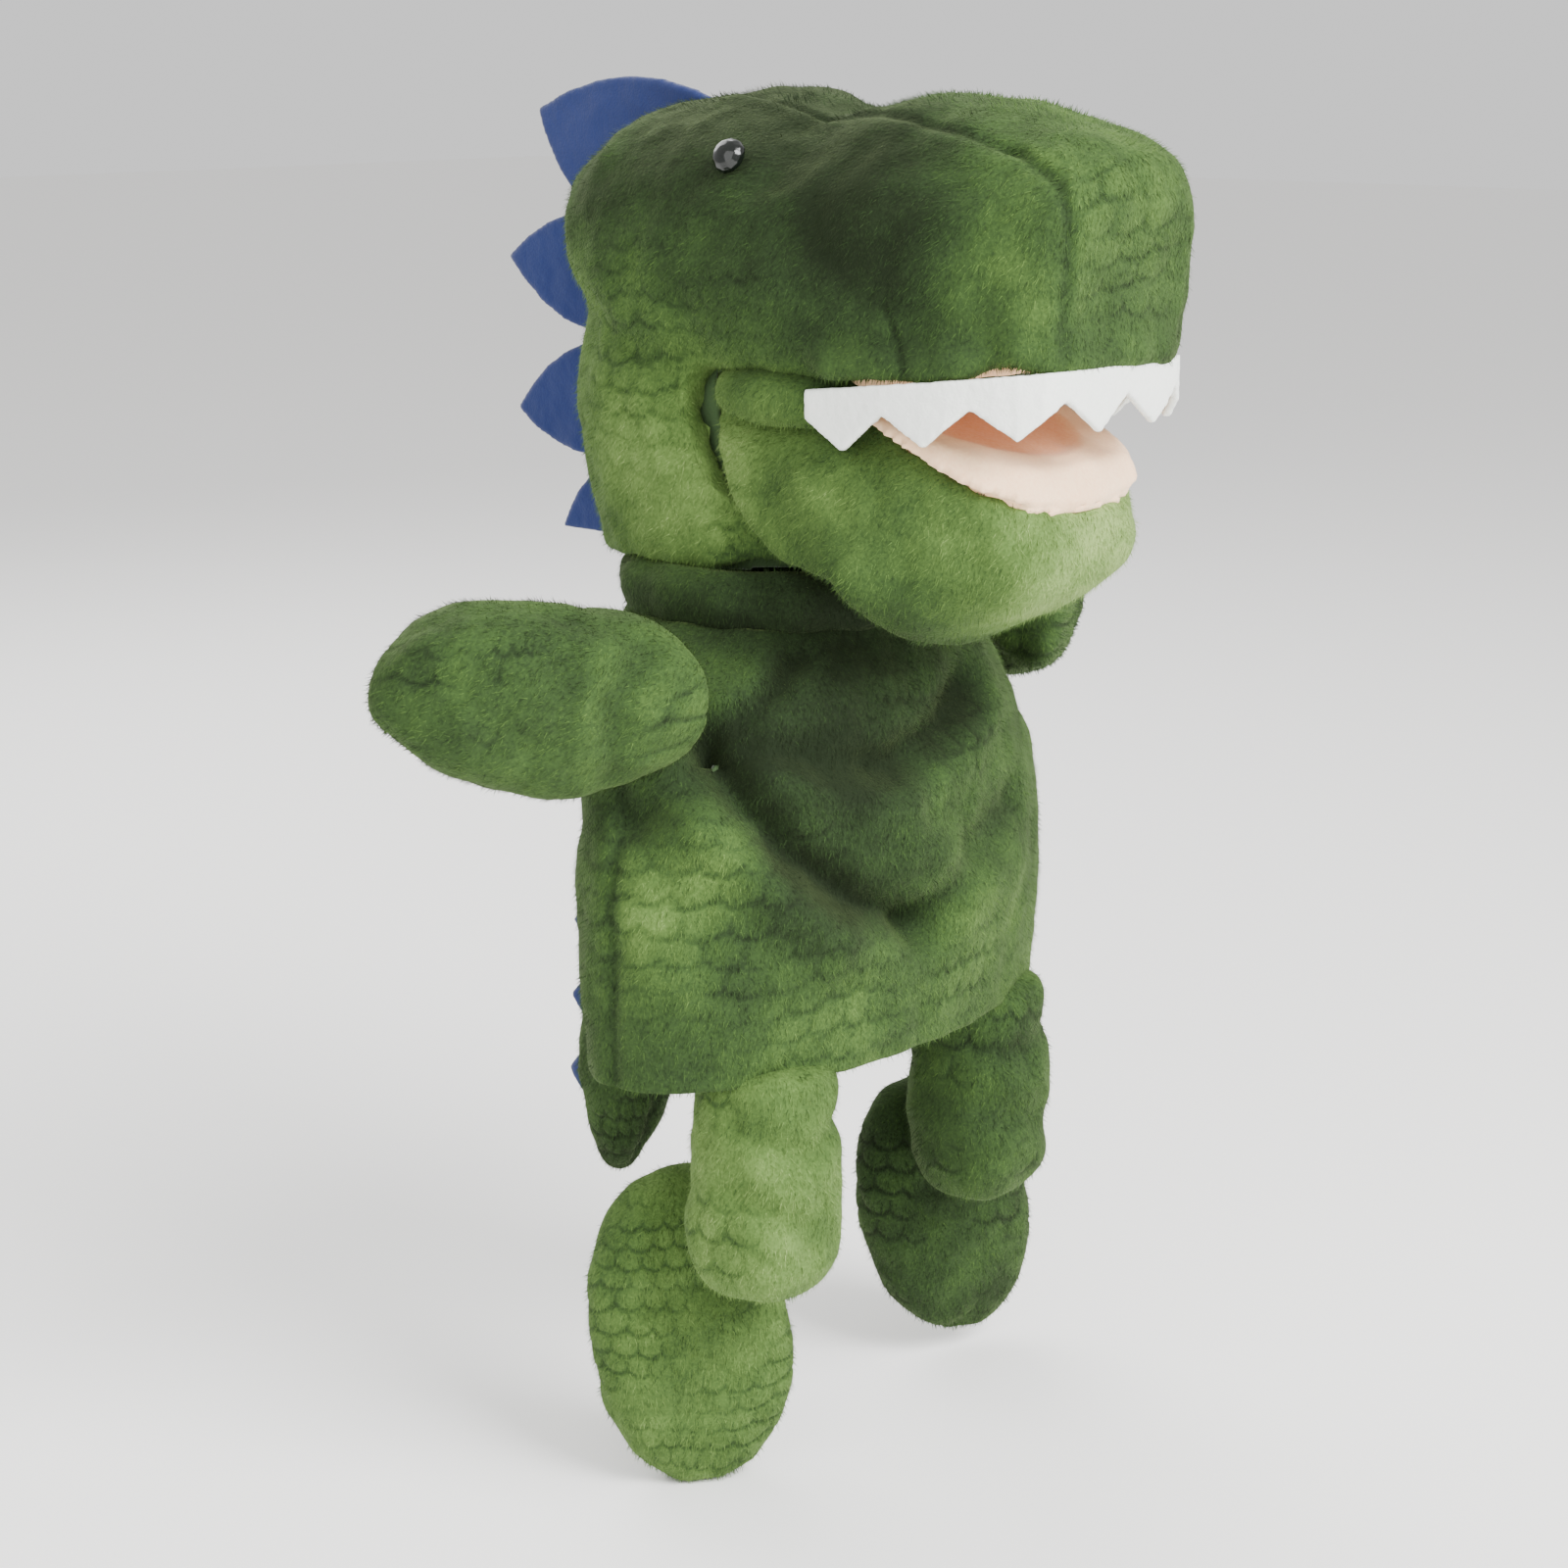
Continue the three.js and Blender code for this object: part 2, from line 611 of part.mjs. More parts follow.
function legForm(x, inset) {
  const half = legThickness / 2;
  return [
    [
      [x, legY, legTop, half * 0.9, half * 0.9],
      [x, legY, legTop - legLength * 0.4, half, half],
      [x, legY + 1, legTop - legLength, half * 0.94, half * 0.94],
    ],
    { inset, blunt: 3.4 },
  ];
}

// Each foot is a flat pad that faces forwards, turned to its own side and rolled a little on the leg.
function footForm(foot, inset) {
  const wide = footWidth / 2;
  const thick = footThickness / 2;
  const half = footLength / 2;
  const form = stuffedForm(
    [
      [0, 1, half, wide * 0.68, thick * 0.84],
      [0, 0, half * 0.4, wide * 0.96, thick],
      [0, 0, -half * 0.36, wide, thick],
      [0, -1, -half, wide * 0.72, thick * 0.8],
    ],
    { inset, blunt: 2.8 },
  );
  return form.transform(footPlace(foot).toArray());
}

function footPlace({ x, y, z, face, roll }) {
  const place = new THREE.Matrix4().makeTranslation(x, y, z);
  place.multiply(new THREE.Matrix4().makeRotationZ(degrees(face)));
  return place.multiply(new THREE.Matrix4().makeRotationY(degrees(-roll)));
}

// The foot keeps clear of its leg all through the ankle's swing.
function legSweep(x, grow) {
  const [stations, options] = legForm(x, -grow);
  const leg = stuffedForm(stations, options);
  const turns = [-1, -0.5, 0, 0.5, 1].map((share) => leg.transform(turnAbout(legY, ankleZ, (ankleSwing + 2) * share)));
  return turns.reduce((whole, one) => whole.add(one));
}

const footBehind = legThickness / 2 + footThickness / 2; // from the leg's middle to the foot's
for (const [name, way] of sides) {
  const x = (way * legSpacing) / 2;
  const [stations, options] = legForm(x, 0);
  const { skin: legSkin, core } = skinAndFilling(stations, options, block([-far, -far, legTop - 4], [far, far, far]));
  addPiece(`leg_${name}_skin`, legSkin, green);
  addPiece(`leg_${name}_filling`, core, batting);
  const pose = footPose[name];
  const foot = { ...pose, x: x + pose.out, y: legY + footBehind - pose.forward, z: ankleZ + 8 - footLength / 2 };
  const sweep = legSweep(x, jointGap + 0.3);
  const shell = footForm(foot, 0).subtract(footForm(foot, plush)).subtract(sweep);
  const split = (low, high) => block([-far, low, -far], [far, high, far]).transform(footPlace(foot).toArray());
  const solePlane = footThickness * 0.22;
  addPiece(`foot_${name}_top`, shell.intersect(split(-far, solePlane - seamGap / 2)), green);
  addPiece(`foot_${name}_sole`, shell.intersect(split(solePlane + seamGap / 2, far)), sole);
  addPiece(`foot_${name}_filling`, footForm(foot, lipInset).subtract(legSweep(x, jointGap + lipInset)), batting);
}

// Tail
const tailY = sleeveMiddleY + halfDepth + tailGap + tailThickness / 2 - 3;
const tailLeanBy = (share) => tailY + Math.sin(degrees(tailLean)) * tailLength * share;
const tailDrop = (share) => tailTop - Math.cos(degrees(tailLean)) * tailLength * share;
const tailStations = [
  [0, 0.8],
  [0.3, 1],
  [0.65, 0.9],
  [1, 0.5],
].map(([share, w]) => [0, tailLeanBy(share), tailDrop(share), (tailThickness / 2) * w, (tailThickness / 2) * w]);
const tailOpening = block([-far, -far, tailTop - 3], [far, far, far]);
const tail = skinAndFilling(tailStations, { blunt: 3 }, tailOpening);
for (const [name, way] of sides) {
  const half = block([way < 0 ? -far : seamGap / 2, -far, -far], [way < 0 ? -seamGap / 2 : far, far, far]);
  addPiece(`tail_${name}`, tail.skin.intersect(half), green);
}
addPiece("tail_filling", tail.core, batting);

// The ridge goes on down the sleeve's back and along the tail.
const backLeaf = (low, high, back, tall) => ({ low: [back, low], high: [back, high], tip: [back + tall, (low + high) / 2] });
const sleeveBack = sleeveMiddleY + halfDepth;
const sleeveLeafPitch = 21;
const sleeveTrim = sleeveTube(-1, sleeveHeight, -layerGap, halfDepth - 8);
[0, 1, 2].forEach((i) => {
  const high = sleeveHeight - 4 - i * sleeveLeafPitch;
  const { low, tip } = backLeaf(high - sleeveLeafPitch + 2, high, sleeveBack - 6, 31 - i * 3);
  const plate = leaf(low, [sleeveBack - 6, high], tip);
  addPiece(`spike_${headLeaves.length + 1 + i}`, plate.subtract(sleeveTrim), blue);
});
const tailTrim = stuffedForm(tailStations, { blunt: 3, inset: -layerGap });
[0.22, 0.46, 0.7].forEach((share, i) => {
  const reach = 0.2;
  const at = (along, out) => [tailLeanBy(along) + out, tailDrop(along) + out * Math.tan(degrees(tailLean))];
  const thick = tailThickness / 2;
  const low = at(share + reach / 2, thick * 0.4);
  const high = at(share - reach / 2, thick * 0.5);
  const plate = leaf(low, high, at(share + 0.03, thick + 11 - i * 2));
  addPiece(`spike_${headLeaves.length + 4 + i}`, plate.subtract(tailTrim), blue);
});

// A blank care label hangs inside the back of the sleeve.
const labelY = sleeveMiddleY + halfDepth - 4 - 2 * (plush + layerGap) - 3;
addPiece("care_label", block([-8, labelY, 2], [8, labelY + 0.6, 24]), 0xf6f6f2);

export default puppet;
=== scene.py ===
import math

import bmesh
import bpy
import numpy as np
from mathutils import Matrix, Vector, noise
from mathutils.bvhtree import BVHTree


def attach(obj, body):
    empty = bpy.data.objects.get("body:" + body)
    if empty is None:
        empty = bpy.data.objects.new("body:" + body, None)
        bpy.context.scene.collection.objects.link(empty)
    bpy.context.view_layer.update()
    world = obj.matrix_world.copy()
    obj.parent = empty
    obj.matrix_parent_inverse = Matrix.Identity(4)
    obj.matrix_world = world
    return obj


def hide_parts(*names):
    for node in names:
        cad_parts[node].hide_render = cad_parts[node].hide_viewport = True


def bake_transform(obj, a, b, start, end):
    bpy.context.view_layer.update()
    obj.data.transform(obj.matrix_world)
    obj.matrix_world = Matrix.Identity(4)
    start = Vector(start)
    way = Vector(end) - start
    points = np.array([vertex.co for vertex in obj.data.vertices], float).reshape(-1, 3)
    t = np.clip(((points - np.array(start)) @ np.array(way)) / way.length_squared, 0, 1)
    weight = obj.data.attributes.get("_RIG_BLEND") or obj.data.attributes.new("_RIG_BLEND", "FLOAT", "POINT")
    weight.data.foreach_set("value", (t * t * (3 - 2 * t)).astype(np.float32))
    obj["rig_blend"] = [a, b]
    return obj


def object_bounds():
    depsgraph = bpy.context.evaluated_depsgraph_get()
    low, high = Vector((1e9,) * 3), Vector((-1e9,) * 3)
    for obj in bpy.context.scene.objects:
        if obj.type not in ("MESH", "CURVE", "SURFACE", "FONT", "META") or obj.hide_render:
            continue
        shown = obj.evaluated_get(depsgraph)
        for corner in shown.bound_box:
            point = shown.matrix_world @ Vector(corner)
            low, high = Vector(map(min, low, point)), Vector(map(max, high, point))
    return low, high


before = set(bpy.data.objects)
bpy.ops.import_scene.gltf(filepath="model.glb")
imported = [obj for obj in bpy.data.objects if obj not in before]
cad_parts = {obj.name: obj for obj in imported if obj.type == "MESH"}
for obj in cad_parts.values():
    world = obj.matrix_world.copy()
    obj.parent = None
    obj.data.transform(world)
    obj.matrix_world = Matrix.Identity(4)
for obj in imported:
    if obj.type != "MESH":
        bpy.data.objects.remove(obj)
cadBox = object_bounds()
mm = 0.001
print("frame loaded")

# Camera, floor and soft light
view = {
    "azimuth": -50.0,
    "elevation": 14.0,
    "distance": 700.0,
    "target": (-7.0, 8.0, 57.0),
    "focal": 68.5,
}
studio = {
    "floorTone": "#fbfaf8",
    "worldTone": "#ffffff",
    "worldStrength": 0.95,
    "floorReach": 6.0,  # metres
    "floorGap": 4.0,
    "lamps": [
        # place in mm, width in mm, power in watts
        ("keyLamp", (-60, -1050, 850), 700, 40.0),
        ("fillLamp", (-950, -300, 450), 1100, 9.0),
        ("backLamp", (300, 800, 800), 900, 10.0),
    ],
}


def linear(text):
    parts = [int(text[i : i + 2], 16) / 255 for i in (1, 3, 5)]
    return tuple(p / 12.92 if p <= 0.04045 else ((p + 0.055) / 1.055) ** 2.4 for p in parts) + (1.0,)


def addNode(tree, kind, settings=None, **values):
    node = tree.nodes.new(kind)
    for key, value in (settings or {}).items():
        setattr(node, key, value)
    for key, value in values.items():
        socket = node.inputs[int(key[2:]) if key.startswith("at") else key.replace("_", " ")]
        if isinstance(value, bpy.types.NodeSocket):
            tree.links.new(value, socket)
        else:
            socket.default_value = value
    return node


def buildView():
    azimuth, elevation = math.radians(view["azimuth"]), math.radians(view["elevation"])
    level = math.cos(elevation)
    back = Vector((math.sin(azimuth) * level, -math.cos(azimuth) * level, math.sin(elevation)))
    lens = bpy.data.cameras.new("camera")
    lens.lens = view["focal"]
    lens.clip_start = 0.01
    camera = bpy.data.objects.new("camera", lens)
    camera.location = Vector(view["target"]) * mm + back * view["distance"] * mm
    camera.rotation_euler = back.to_track_quat("Z", "Y").to_euler()
    bpy.context.scene.collection.objects.link(camera)
    bpy.context.scene.camera = camera


def buildStudio():
    world = bpy.data.worlds.new("studio")
    world.use_nodes = True
    sky = world.node_tree.nodes["Background"]
    sky.inputs["Color"].default_value = linear(studio["worldTone"])
    sky.inputs["Strength"].default_value = studio["worldStrength"]
    bpy.context.scene.world = world
    middle = Vector(view["target"]) * mm
    for name, place, width, power in studio["lamps"]:
        lamp = bpy.data.lights.new(name, "AREA")
        lamp.size = width * mm
        lamp.energy = power
        holder = bpy.data.objects.new(name, lamp)
        holder.location = Vector(place) * mm
        holder.rotation_euler = (holder.location - middle).to_track_quat("Z", "Y").to_euler()
        bpy.context.scene.collection.objects.link(holder)
    paper = bpy.data.materials.new("pale paper backdrop")
    paper.use_nodes = True
    shader = paper.node_tree.nodes["Principled BSDF"]
    shader.inputs["Base Color"].default_value = linear(studio["floorTone"])
    shader.inputs["Roughness"].default_value = 0.9
    low = cadBox[0][2] - studio["floorGap"] * mm
    ground = bpy.data.meshes.new("floor")
    reach = studio["floorReach"]
    corners = [(-reach, -reach, low), (reach, -reach, low), (reach, reach, low), (-reach, reach, low)]
    ground.from_pydata(corners, [], [(0, 1, 2, 3)])
    ground.materials.append(paper)
    floor = bpy.data.objects.new("floor", ground)
    bpy.context.scene.collection.objects.link(floor)


buildView()
buildStudio()
print("camera and light ready")


# Mesh work: every piece is made in place, with its object at the origin
def linked(name, mesh):
    piece = bpy.data.objects.new(name, mesh)
    bpy.context.scene.collection.objects.link(piece)
    return piece


def copyOf(name, nodes):
    work = bmesh.new()
    for node in nodes:
        work.from_mesh(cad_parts[node].data)
    bmesh.ops.remove_doubles(work, verts=work.verts, dist=0.005 * mm)
    mesh = bpy.data.meshes.new(name)
    work.to_mesh(mesh)
    work.free()
    mesh.materials.clear()
    return linked(name, mesh)


def treeOf(nodes):
    work = bmesh.new()
    for node in nodes:
        work.from_mesh(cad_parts[node].data)
    tree = BVHTree.FromBMesh(work)
    work.free()
    return tree


def settle(piece):
    graph = bpy.context.evaluated_depsgraph_get()
    mesh = bpy.data.meshes.new_from_object(piece.evaluated_get(graph))
    piece.modifiers.clear()
    piece.data = mesh
    mesh.name = piece.name


def remesh(piece, voxel):
    change = piece.modifiers.new("voxels", "REMESH")
    change.mode = "VOXEL"
    change.voxel_size = voxel * mm
    settle(piece)


def refine(piece, levels):
    change = piece.modifiers.new("finer", "SUBSURF")
    change.levels = change.render_levels = levels
    settle(piece)


def points(mesh):
    flat = np.empty(len(mesh.vertices) * 3, np.float32)
    mesh.vertices.foreach_get("co", flat)
    return flat.reshape(-1, 3).astype(float)


def normals(mesh):
    flat = np.empty(len(mesh.vertices) * 3, np.float32)
    mesh.vertex_normals.foreach_get("vector", flat)
    return flat.reshape(-1, 3).astype(float)


def setPoints(mesh, places):
    mesh.vertices.foreach_set("co", places.astype(np.float32).ravel())
    mesh.update()


def relax(piece, rounds, pull=0.5, push=-0.52):
    # evens the surface out without shrinking it: each round pulls in and pushes back
    mesh = piece.data
    ends = np.empty(len(mesh.edges) * 2, np.int32)
    mesh.edges.foreach_get("vertices", ends)
    first, second = ends[0::2], ends[1::2]
    places = points(mesh)
    count = np.bincount(ends, minlength=len(places))[:, None].clip(1)
    for step in [s for _ in range(rounds) for s in (pull, push)]:
        total = [
            np.bincount(first, places[second, k], len(places))
            + np.bincount(second, places[first, k], len(places))
            for k in range(3)
        ]
        places += step * (np.stack(total, 1) / count - places)
    setPoints(mesh, places)


def store(mesh, name, values, kind="FLOAT"):
    layer = mesh.attributes.get(name) or mesh.attributes.new(name, kind, "POINT")
    layer.data.foreach_set("value" if kind == "FLOAT" else "vector", values.astype(np.float32).ravel())


def roughness(places, size, octaves=2, seed=0.0):
    # smooth random values near -1 to 1, size in mm
    shift = Vector((seed, seed * 1.7, -seed))
    return np.array([noise.fractal(Vector(p) / (size * mm) + shift, 0.8, 2.0, octaves) for p in places])


def away(places, line, surface):
    # each point's distance in mm from a line of points in mm, once that line is laid on the surface
    best = np.full(len(places), 1e9)
    corners = np.array(line, float) * mm
    spread = np.linspace(0, len(corners) - 1, 8 * (len(corners) - 1) + 1)
    path = np.stack([np.interp(spread, range(len(corners)), corners[:, k]) for k in range(3)], 1)
    path = np.array([surface.find_nearest(Vector(point))[0] for point in path])
    for start, end in zip(path[:-1], path[1:]):
        run = end - start
        share = np.clip((places - start) @ run / max(run @ run, 1e-12), 0, 1)
        best = np.minimum(best, np.linalg.norm(places - start - share[:, None] * run, axis=1))
    return best / mm


def soft(distance, width):
    return np.exp(-((distance / width) ** 2))


# Tone of the dyed plush, 0 dark to 1 light: cloudy patches at (x, y, z, size in mm, tone)
dye = {
    "commonWeight": 0.12,
    "reach": 1.35,
    "mottle": 0.13,
    "mottleSize": 17,
    "patches": [
        (-42, -34, 184, 17, 0.02), (-42, -12, 193, 13, 0.12), (-35, -38, 206, 14, -0.25),
        (-44, -6, 176, 11, 0.3),
        (-15, 22, 217, 19, -0.1), (-25, -60, 212, 14, 0.36), (-42, -58, 170, 14, 0.34),
        (5, -84, 190, 24, 0.48),
        (8, -82, 165, 15, 0.22), (-38, 30, 196, 13, 0.14), (-42, 24, 170, 12, 0.42), (-38, 16, 140, 13, 0.88),
        (-28, 44, 155, 14, 0.6), (0, 60, 180, 20, 0.42), (-38, -40, 132, 18, 0.52),
        (0, -60, 112, 19, 1.1), (-20, -62, 126, 14, 0.5),
        (-42, -14, 135, 12, 0.66), (-38, -32, 148, 8, 0.3), (-26, -36, 88, 20, -0.1),
        (-52, -22, 102, 14, 0.48),
        (5, -36, 92, 15, 0.25), (8, -36, 62, 15, 0.32), (-73, 8, 52, 17, 0.32), (-68, -14, 42, 12, 0.86),
        (-66, -22, 26, 11, 0.18), (-57, -33, 38, 9, 0.06), (-43, -36, 40, 10, 0.14), (12, -36, 32, 13, 0.5),
        (-50, -34, 24, 9, 0.5), (-30, -36, 12, 13, 0.5), (-62, -24, 60, 9, 0.55), (-36, -36, 58, 13, 0.24),
        (40, -30, 45, 18, 0.35), (0, 42, 70, 22, 0.35), (-30, 40, 25, 16, 0.6), (35, 38, 40, 16, 0.55),
        (42, -30, 184, 17, 0.2), (40, 20, 150, 18, 0.6), (60, 10, 20, 18, 0.6),
    ],
}


def dyeTone(places, common):
    total = np.full(len(places), dye["commonWeight"])
    tone = total * common
    for x, y, z, size, value in dye["patches"]:
        weight = soft(np.linalg.norm(places / mm - (x, y, z), axis=1), size * dye["reach"])
        total += weight
        tone += weight * value
    return tone / total + dye["mottle"] * roughness(places, dye["mottleSize"], 3, 5.0)


# Embossed scales: rows of rounded cells, each with a groove round its lower edge, as shares of a cell. The
# groove is sunk into the cloth and also painted darker as shade, over the same width.
cell = {"middle": 0.55, "squash": 0.95, "top": 0.75, "radius": 0.56, "groove": 0.085}


def scaleCells(across, up, size):
    # across and up in mm; 1 in the groove between two cells, 0 on a cell
    row = np.floor(up / size)
    best = np.zeros(len(across))
    for step in (0, 1):
        level = (row + step) * size
        shifted = across / size + 0.5 * np.mod(row + step, 2)
        middle = (np.round(shifted) - 0.5 * np.mod(row + step, 2)) * size
        reach = np.hypot(across - middle, (up - level - size * cell["middle"]) * cell["squash"])
        below = up < level + size * cell["top"]
        edge = soft(reach - size * cell["radius"], size * cell["groove"]) * below
        best = np.maximum(best, edge)
    return best


def turned(places, middle):
    # distance round an upright axis in mm, and height in mm
    side = places / mm - middle
    radius = np.hypot(side[:, 0], side[:, 1])
    return np.arctan2(side[:, 0], -side[:, 1]) * np.maximum(np.median(radius), 1), side[:, 2]


def patchy(places, size, seed, low, high):
    return np.clip((roughness(places, size, 2, seed) - low) / (high - low), 0, 1)


# Stuffing: the padded pieces swell together under cloth simulation
stuffing = {
    "pressure": 4.0,
    "frames": 20,
    "quality": 5,
    "mass": 0.2,
    "stiffness": 25,
    "bending": 0.05,
    "evenOut": 14,  # rounds of easing after the voxels
}
waiting = []


def stuff(name, nodes, cap, voxel):
    piece = copyOf(name, nodes)
    remesh(piece, voxel)
    relax(piece, stuffing["evenOut"])
    waiting.append((piece, cap))
    return piece


def runStuffing():
    starts = {}
    for piece, cap in waiting:
        starts[piece.name] = points(piece.data)
        cloth = piece.modifiers.new("cloth", "CLOTH")
        cloth.settings.quality = stuffing["quality"]
        cloth.settings.mass = stuffing["mass"]
        cloth.settings.use_pressure = True
        cloth.settings.uniform_pressure_force = stuffing["pressure"]
        cloth.settings.effector_weights.gravity = 0
        cloth.settings.tension_stiffness = stuffing["stiffness"]
        cloth.settings.compression_stiffness = stuffing["stiffness"]
        cloth.settings.bending_stiffness = stuffing["bending"]
        cloth.collision_settings.use_collision = False
    for step in range(1, stuffing["frames"] + 1):
        bpy.context.scene.frame_set(step)
    for piece, cap in waiting:
        settle(piece)
        start = starts[piece.name]
        move = points(piece.data) - start
        length = np.linalg.norm(move, axis=1, keepdims=True)
        setPoints(piece.data, start + move * np.minimum(1, cap * mm / np.maximum(length, 1e-9)))
        relax(piece, 1)
    bpy.context.scene.frame_set(1)


# Plush forms, their CAD solids, and how far each may swell in mm
plush = {
    "head": {
        "nodes": ["head_side_right", "head_side_left", "head_gusset", "head_filling"],
        "cap": 1.0,
        "voxel": 2.2,
        "levels": 1,
    },
    "jaw": {"nodes": ["jaw_panel", "jaw_filling"], "cap": 1.2, "voxel": 2.2, "levels": 1},
    "arm_right": {"nodes": ["arm_right_skin", "arm_right_filling"], "cap": 1.2, "voxel": 2.4, "levels": 2},
    "arm_left": {"nodes": ["arm_left_skin", "arm_left_filling"], "cap": 1.2, "voxel": 2.4, "levels": 2},
    "leg_right": {"nodes": ["leg_right_skin", "leg_right_filling"], "cap": 1.2, "voxel": 2.4, "levels": 2},
    "leg_left": {"nodes": ["leg_left_skin", "leg_left_filling"], "cap": 1.2, "voxel": 2.4, "levels": 2},
    "foot_right": {
        "nodes": ["foot_right_top", "foot_right_sole", "foot_right_filling"],
        "cap": 1.0,
        "voxel": 2.4,
        "levels": 2,
    },
    "foot_left": {
        "nodes": ["foot_left_top", "foot_left_sole", "foot_left_filling"],
        "cap": 1.0,
        "voxel": 2.4,
        "levels": 2,
    },
    "tail": {"nodes": ["tail_right", "tail_left", "tail_filling"], "cap": 1.0, "voxel": 2.4, "levels": 2},
}
forms = {}
for name, facts in plush.items():
    forms[name] = stuff(name + "_plush", facts["nodes"], facts["cap"], facts["voxel"])
runStuffing()
for name, piece in forms.items():
    refine(piece, plush[name]["levels"])
    print(name, "form has", len(piece.data.vertices), "points")


# Finishes, each from the common form of its material
soleTones = ["#4b5228", "#949e62"]
multiplyAdd, subtract, scaleIt = ({"operation": kind} for kind in ("MULTIPLY_ADD", "SUBTRACT", "SCALE"))


def plushMaterial(name, tones, pile):
    # Short-pile polyester plush, dyed in clouds: dull, with a pale sheen where the pile is seen side on, and
    # painted shade darkening its sunk seams, folds and scale grooves.
    # The pile's grain is 0.5 mm, drawn near 0.7 mm so that it shows.
    made = bpy.data.materials.new(name)
    made.use_nodes = True
    tree = made.node_tree
    shader = tree.nodes["Principled BSDF"]
    shader.inputs["Roughness"].default_value = 0.92
    shader.inputs["Specular IOR Level"].default_value = 0.18
    shader.inputs["Sheen Weight"].default_value = 0.35
    shader.inputs["Sheen Roughness"].default_value = 0.45
    shader.inputs["Sheen Tint"].default_value = linear(tones[-1])
    place = addNode(tree, "ShaderNodeTexCoord").outputs["Object"]
    tone = addNode(tree, "ShaderNodeAttribute", {"attribute_name": "tone"}).outputs["Fac"]
    groove = addNode(tree, "ShaderNodeAttribute", {"attribute_name": "groove"}).outputs["Fac"]
    cloud = addNode(tree, "ShaderNodeTexNoise", Vector=place, Scale=1 / (9 * mm), Detail=3.0).outputs["Fac"]
    grain = addNode(tree, "ShaderNodeTexNoise", Vector=place, Scale=1 / (0.7 * mm), Detail=2.0).outputs["Fac"]
    shift = addNode(tree, "ShaderNodeMath", multiplyAdd, at0=cloud, at1=0.22, at2=tone)
    shift = addNode(tree, "ShaderNodeMath", multiplyAdd, at0=grain, at1=0.34, at2=shift.outputs[0])
    # painted shade: the cloth is darker in the sunk seams, folds and scale grooves
    shift = addNode(tree, "ShaderNodeMath", multiplyAdd, at0=groove, at1=-0.3, at2=shift.outputs[0])
    if pile:
        strand = addNode(tree, "ShaderNodeAttribute", {"attribute_name": "strand"}).outputs["Fac"]
        shift = addNode(tree, "ShaderNodeMath", multiplyAdd, at0=strand, at1=0.42, at2=shift.outputs[0])
    ready = addNode(tree, "ShaderNodeMath", subtract, at0=shift.outputs[0], at1=0.48 if pile else 0.28)
    ramp = addNode(tree, "ShaderNodeValToRGB", Fac=ready.outputs[0])
    stops = ramp.color_ramp.elements
    while len(stops) < len(tones):
        stops.new(0.5)
    for k, text in enumerate(tones):
        stops[k].position = k / (len(tones) - 1)
        stops[k].color = linear(text)
    under = addNode(tree, "ShaderNodeAttribute", {"attribute_name": "sole"}).outputs["Fac"]
    soleRamp = addNode(tree, "ShaderNodeValToRGB", Fac=ready.outputs[0])
    for stop, text in zip(soleRamp.color_ramp.elements, soleTones):
        stop.color = linear(text)
    both = addNode(
        tree,
        "ShaderNodeMix",
        {"data_type": "RGBA"},
        at0=under,
        at6=ramp.outputs["Color"],
        at7=soleRamp.outputs["Color"],
    )
    tree.links.new(both.outputs[2], shader.inputs["Base Color"])
    if not pile:
        bump = addNode(tree, "ShaderNodeBump", Strength=0.55, Distance=0.5 * mm, Height=grain)
        tree.links.new(bump.outputs["Normal"], shader.inputs["Normal"])
    return made


def clothMaterial(name, tones, grainSize, facts):
    # Plain woven, felted or fleecy cloth: two close tones mixed by a fine grain, with a matching bump
    made = bpy.data.materials.new(name)
    made.use_nodes = True
    tree = made.node_tree
    shader = tree.nodes["Principled BSDF"]
    for key, value in facts.items():
        shader.inputs[key].default_value = value
    place = addNode(tree, "ShaderNodeTexCoord").outputs["Object"]
    tone = addNode(tree, "ShaderNodeAttribute", {"attribute_name": "tone"}).outputs["Fac"]
    fine = 1 / (grainSize * mm)
    grain = addNode(tree, "ShaderNodeTexNoise", Vector=place, Scale=fine, Detail=4.0).outputs["Fac"]
    cloud = addNode(tree, "ShaderNodeTexNoise", Vector=place, Scale=1 / (14 * mm), Detail=2.0).outputs["Fac"]
    shift = addNode(tree, "ShaderNodeMath", multiplyAdd, at0=grain, at1=0.5, at2=tone)
    shift = addNode(tree, "ShaderNodeMath", multiplyAdd, at0=cloud, at1=0.3, at2=shift.outputs[0])
    ready = addNode(tree, "ShaderNodeMath", subtract, at0=shift.outputs[0], at1=0.4)
    ramp = addNode(tree, "ShaderNodeValToRGB", Fac=ready.outputs[0])
    for stop, text in zip(ramp.color_ramp.elements, tones):
        stop.color = linear(text)
    tree.links.new(ramp.outputs["Color"], shader.inputs["Base Color"])
    bump = addNode(tree, "ShaderNodeBump", Strength=0.4, Distance=grainSize * 0.5 * mm, Height=grain)
    tree.links.new(bump.outputs["Normal"], shader.inputs["Normal"])
    return made


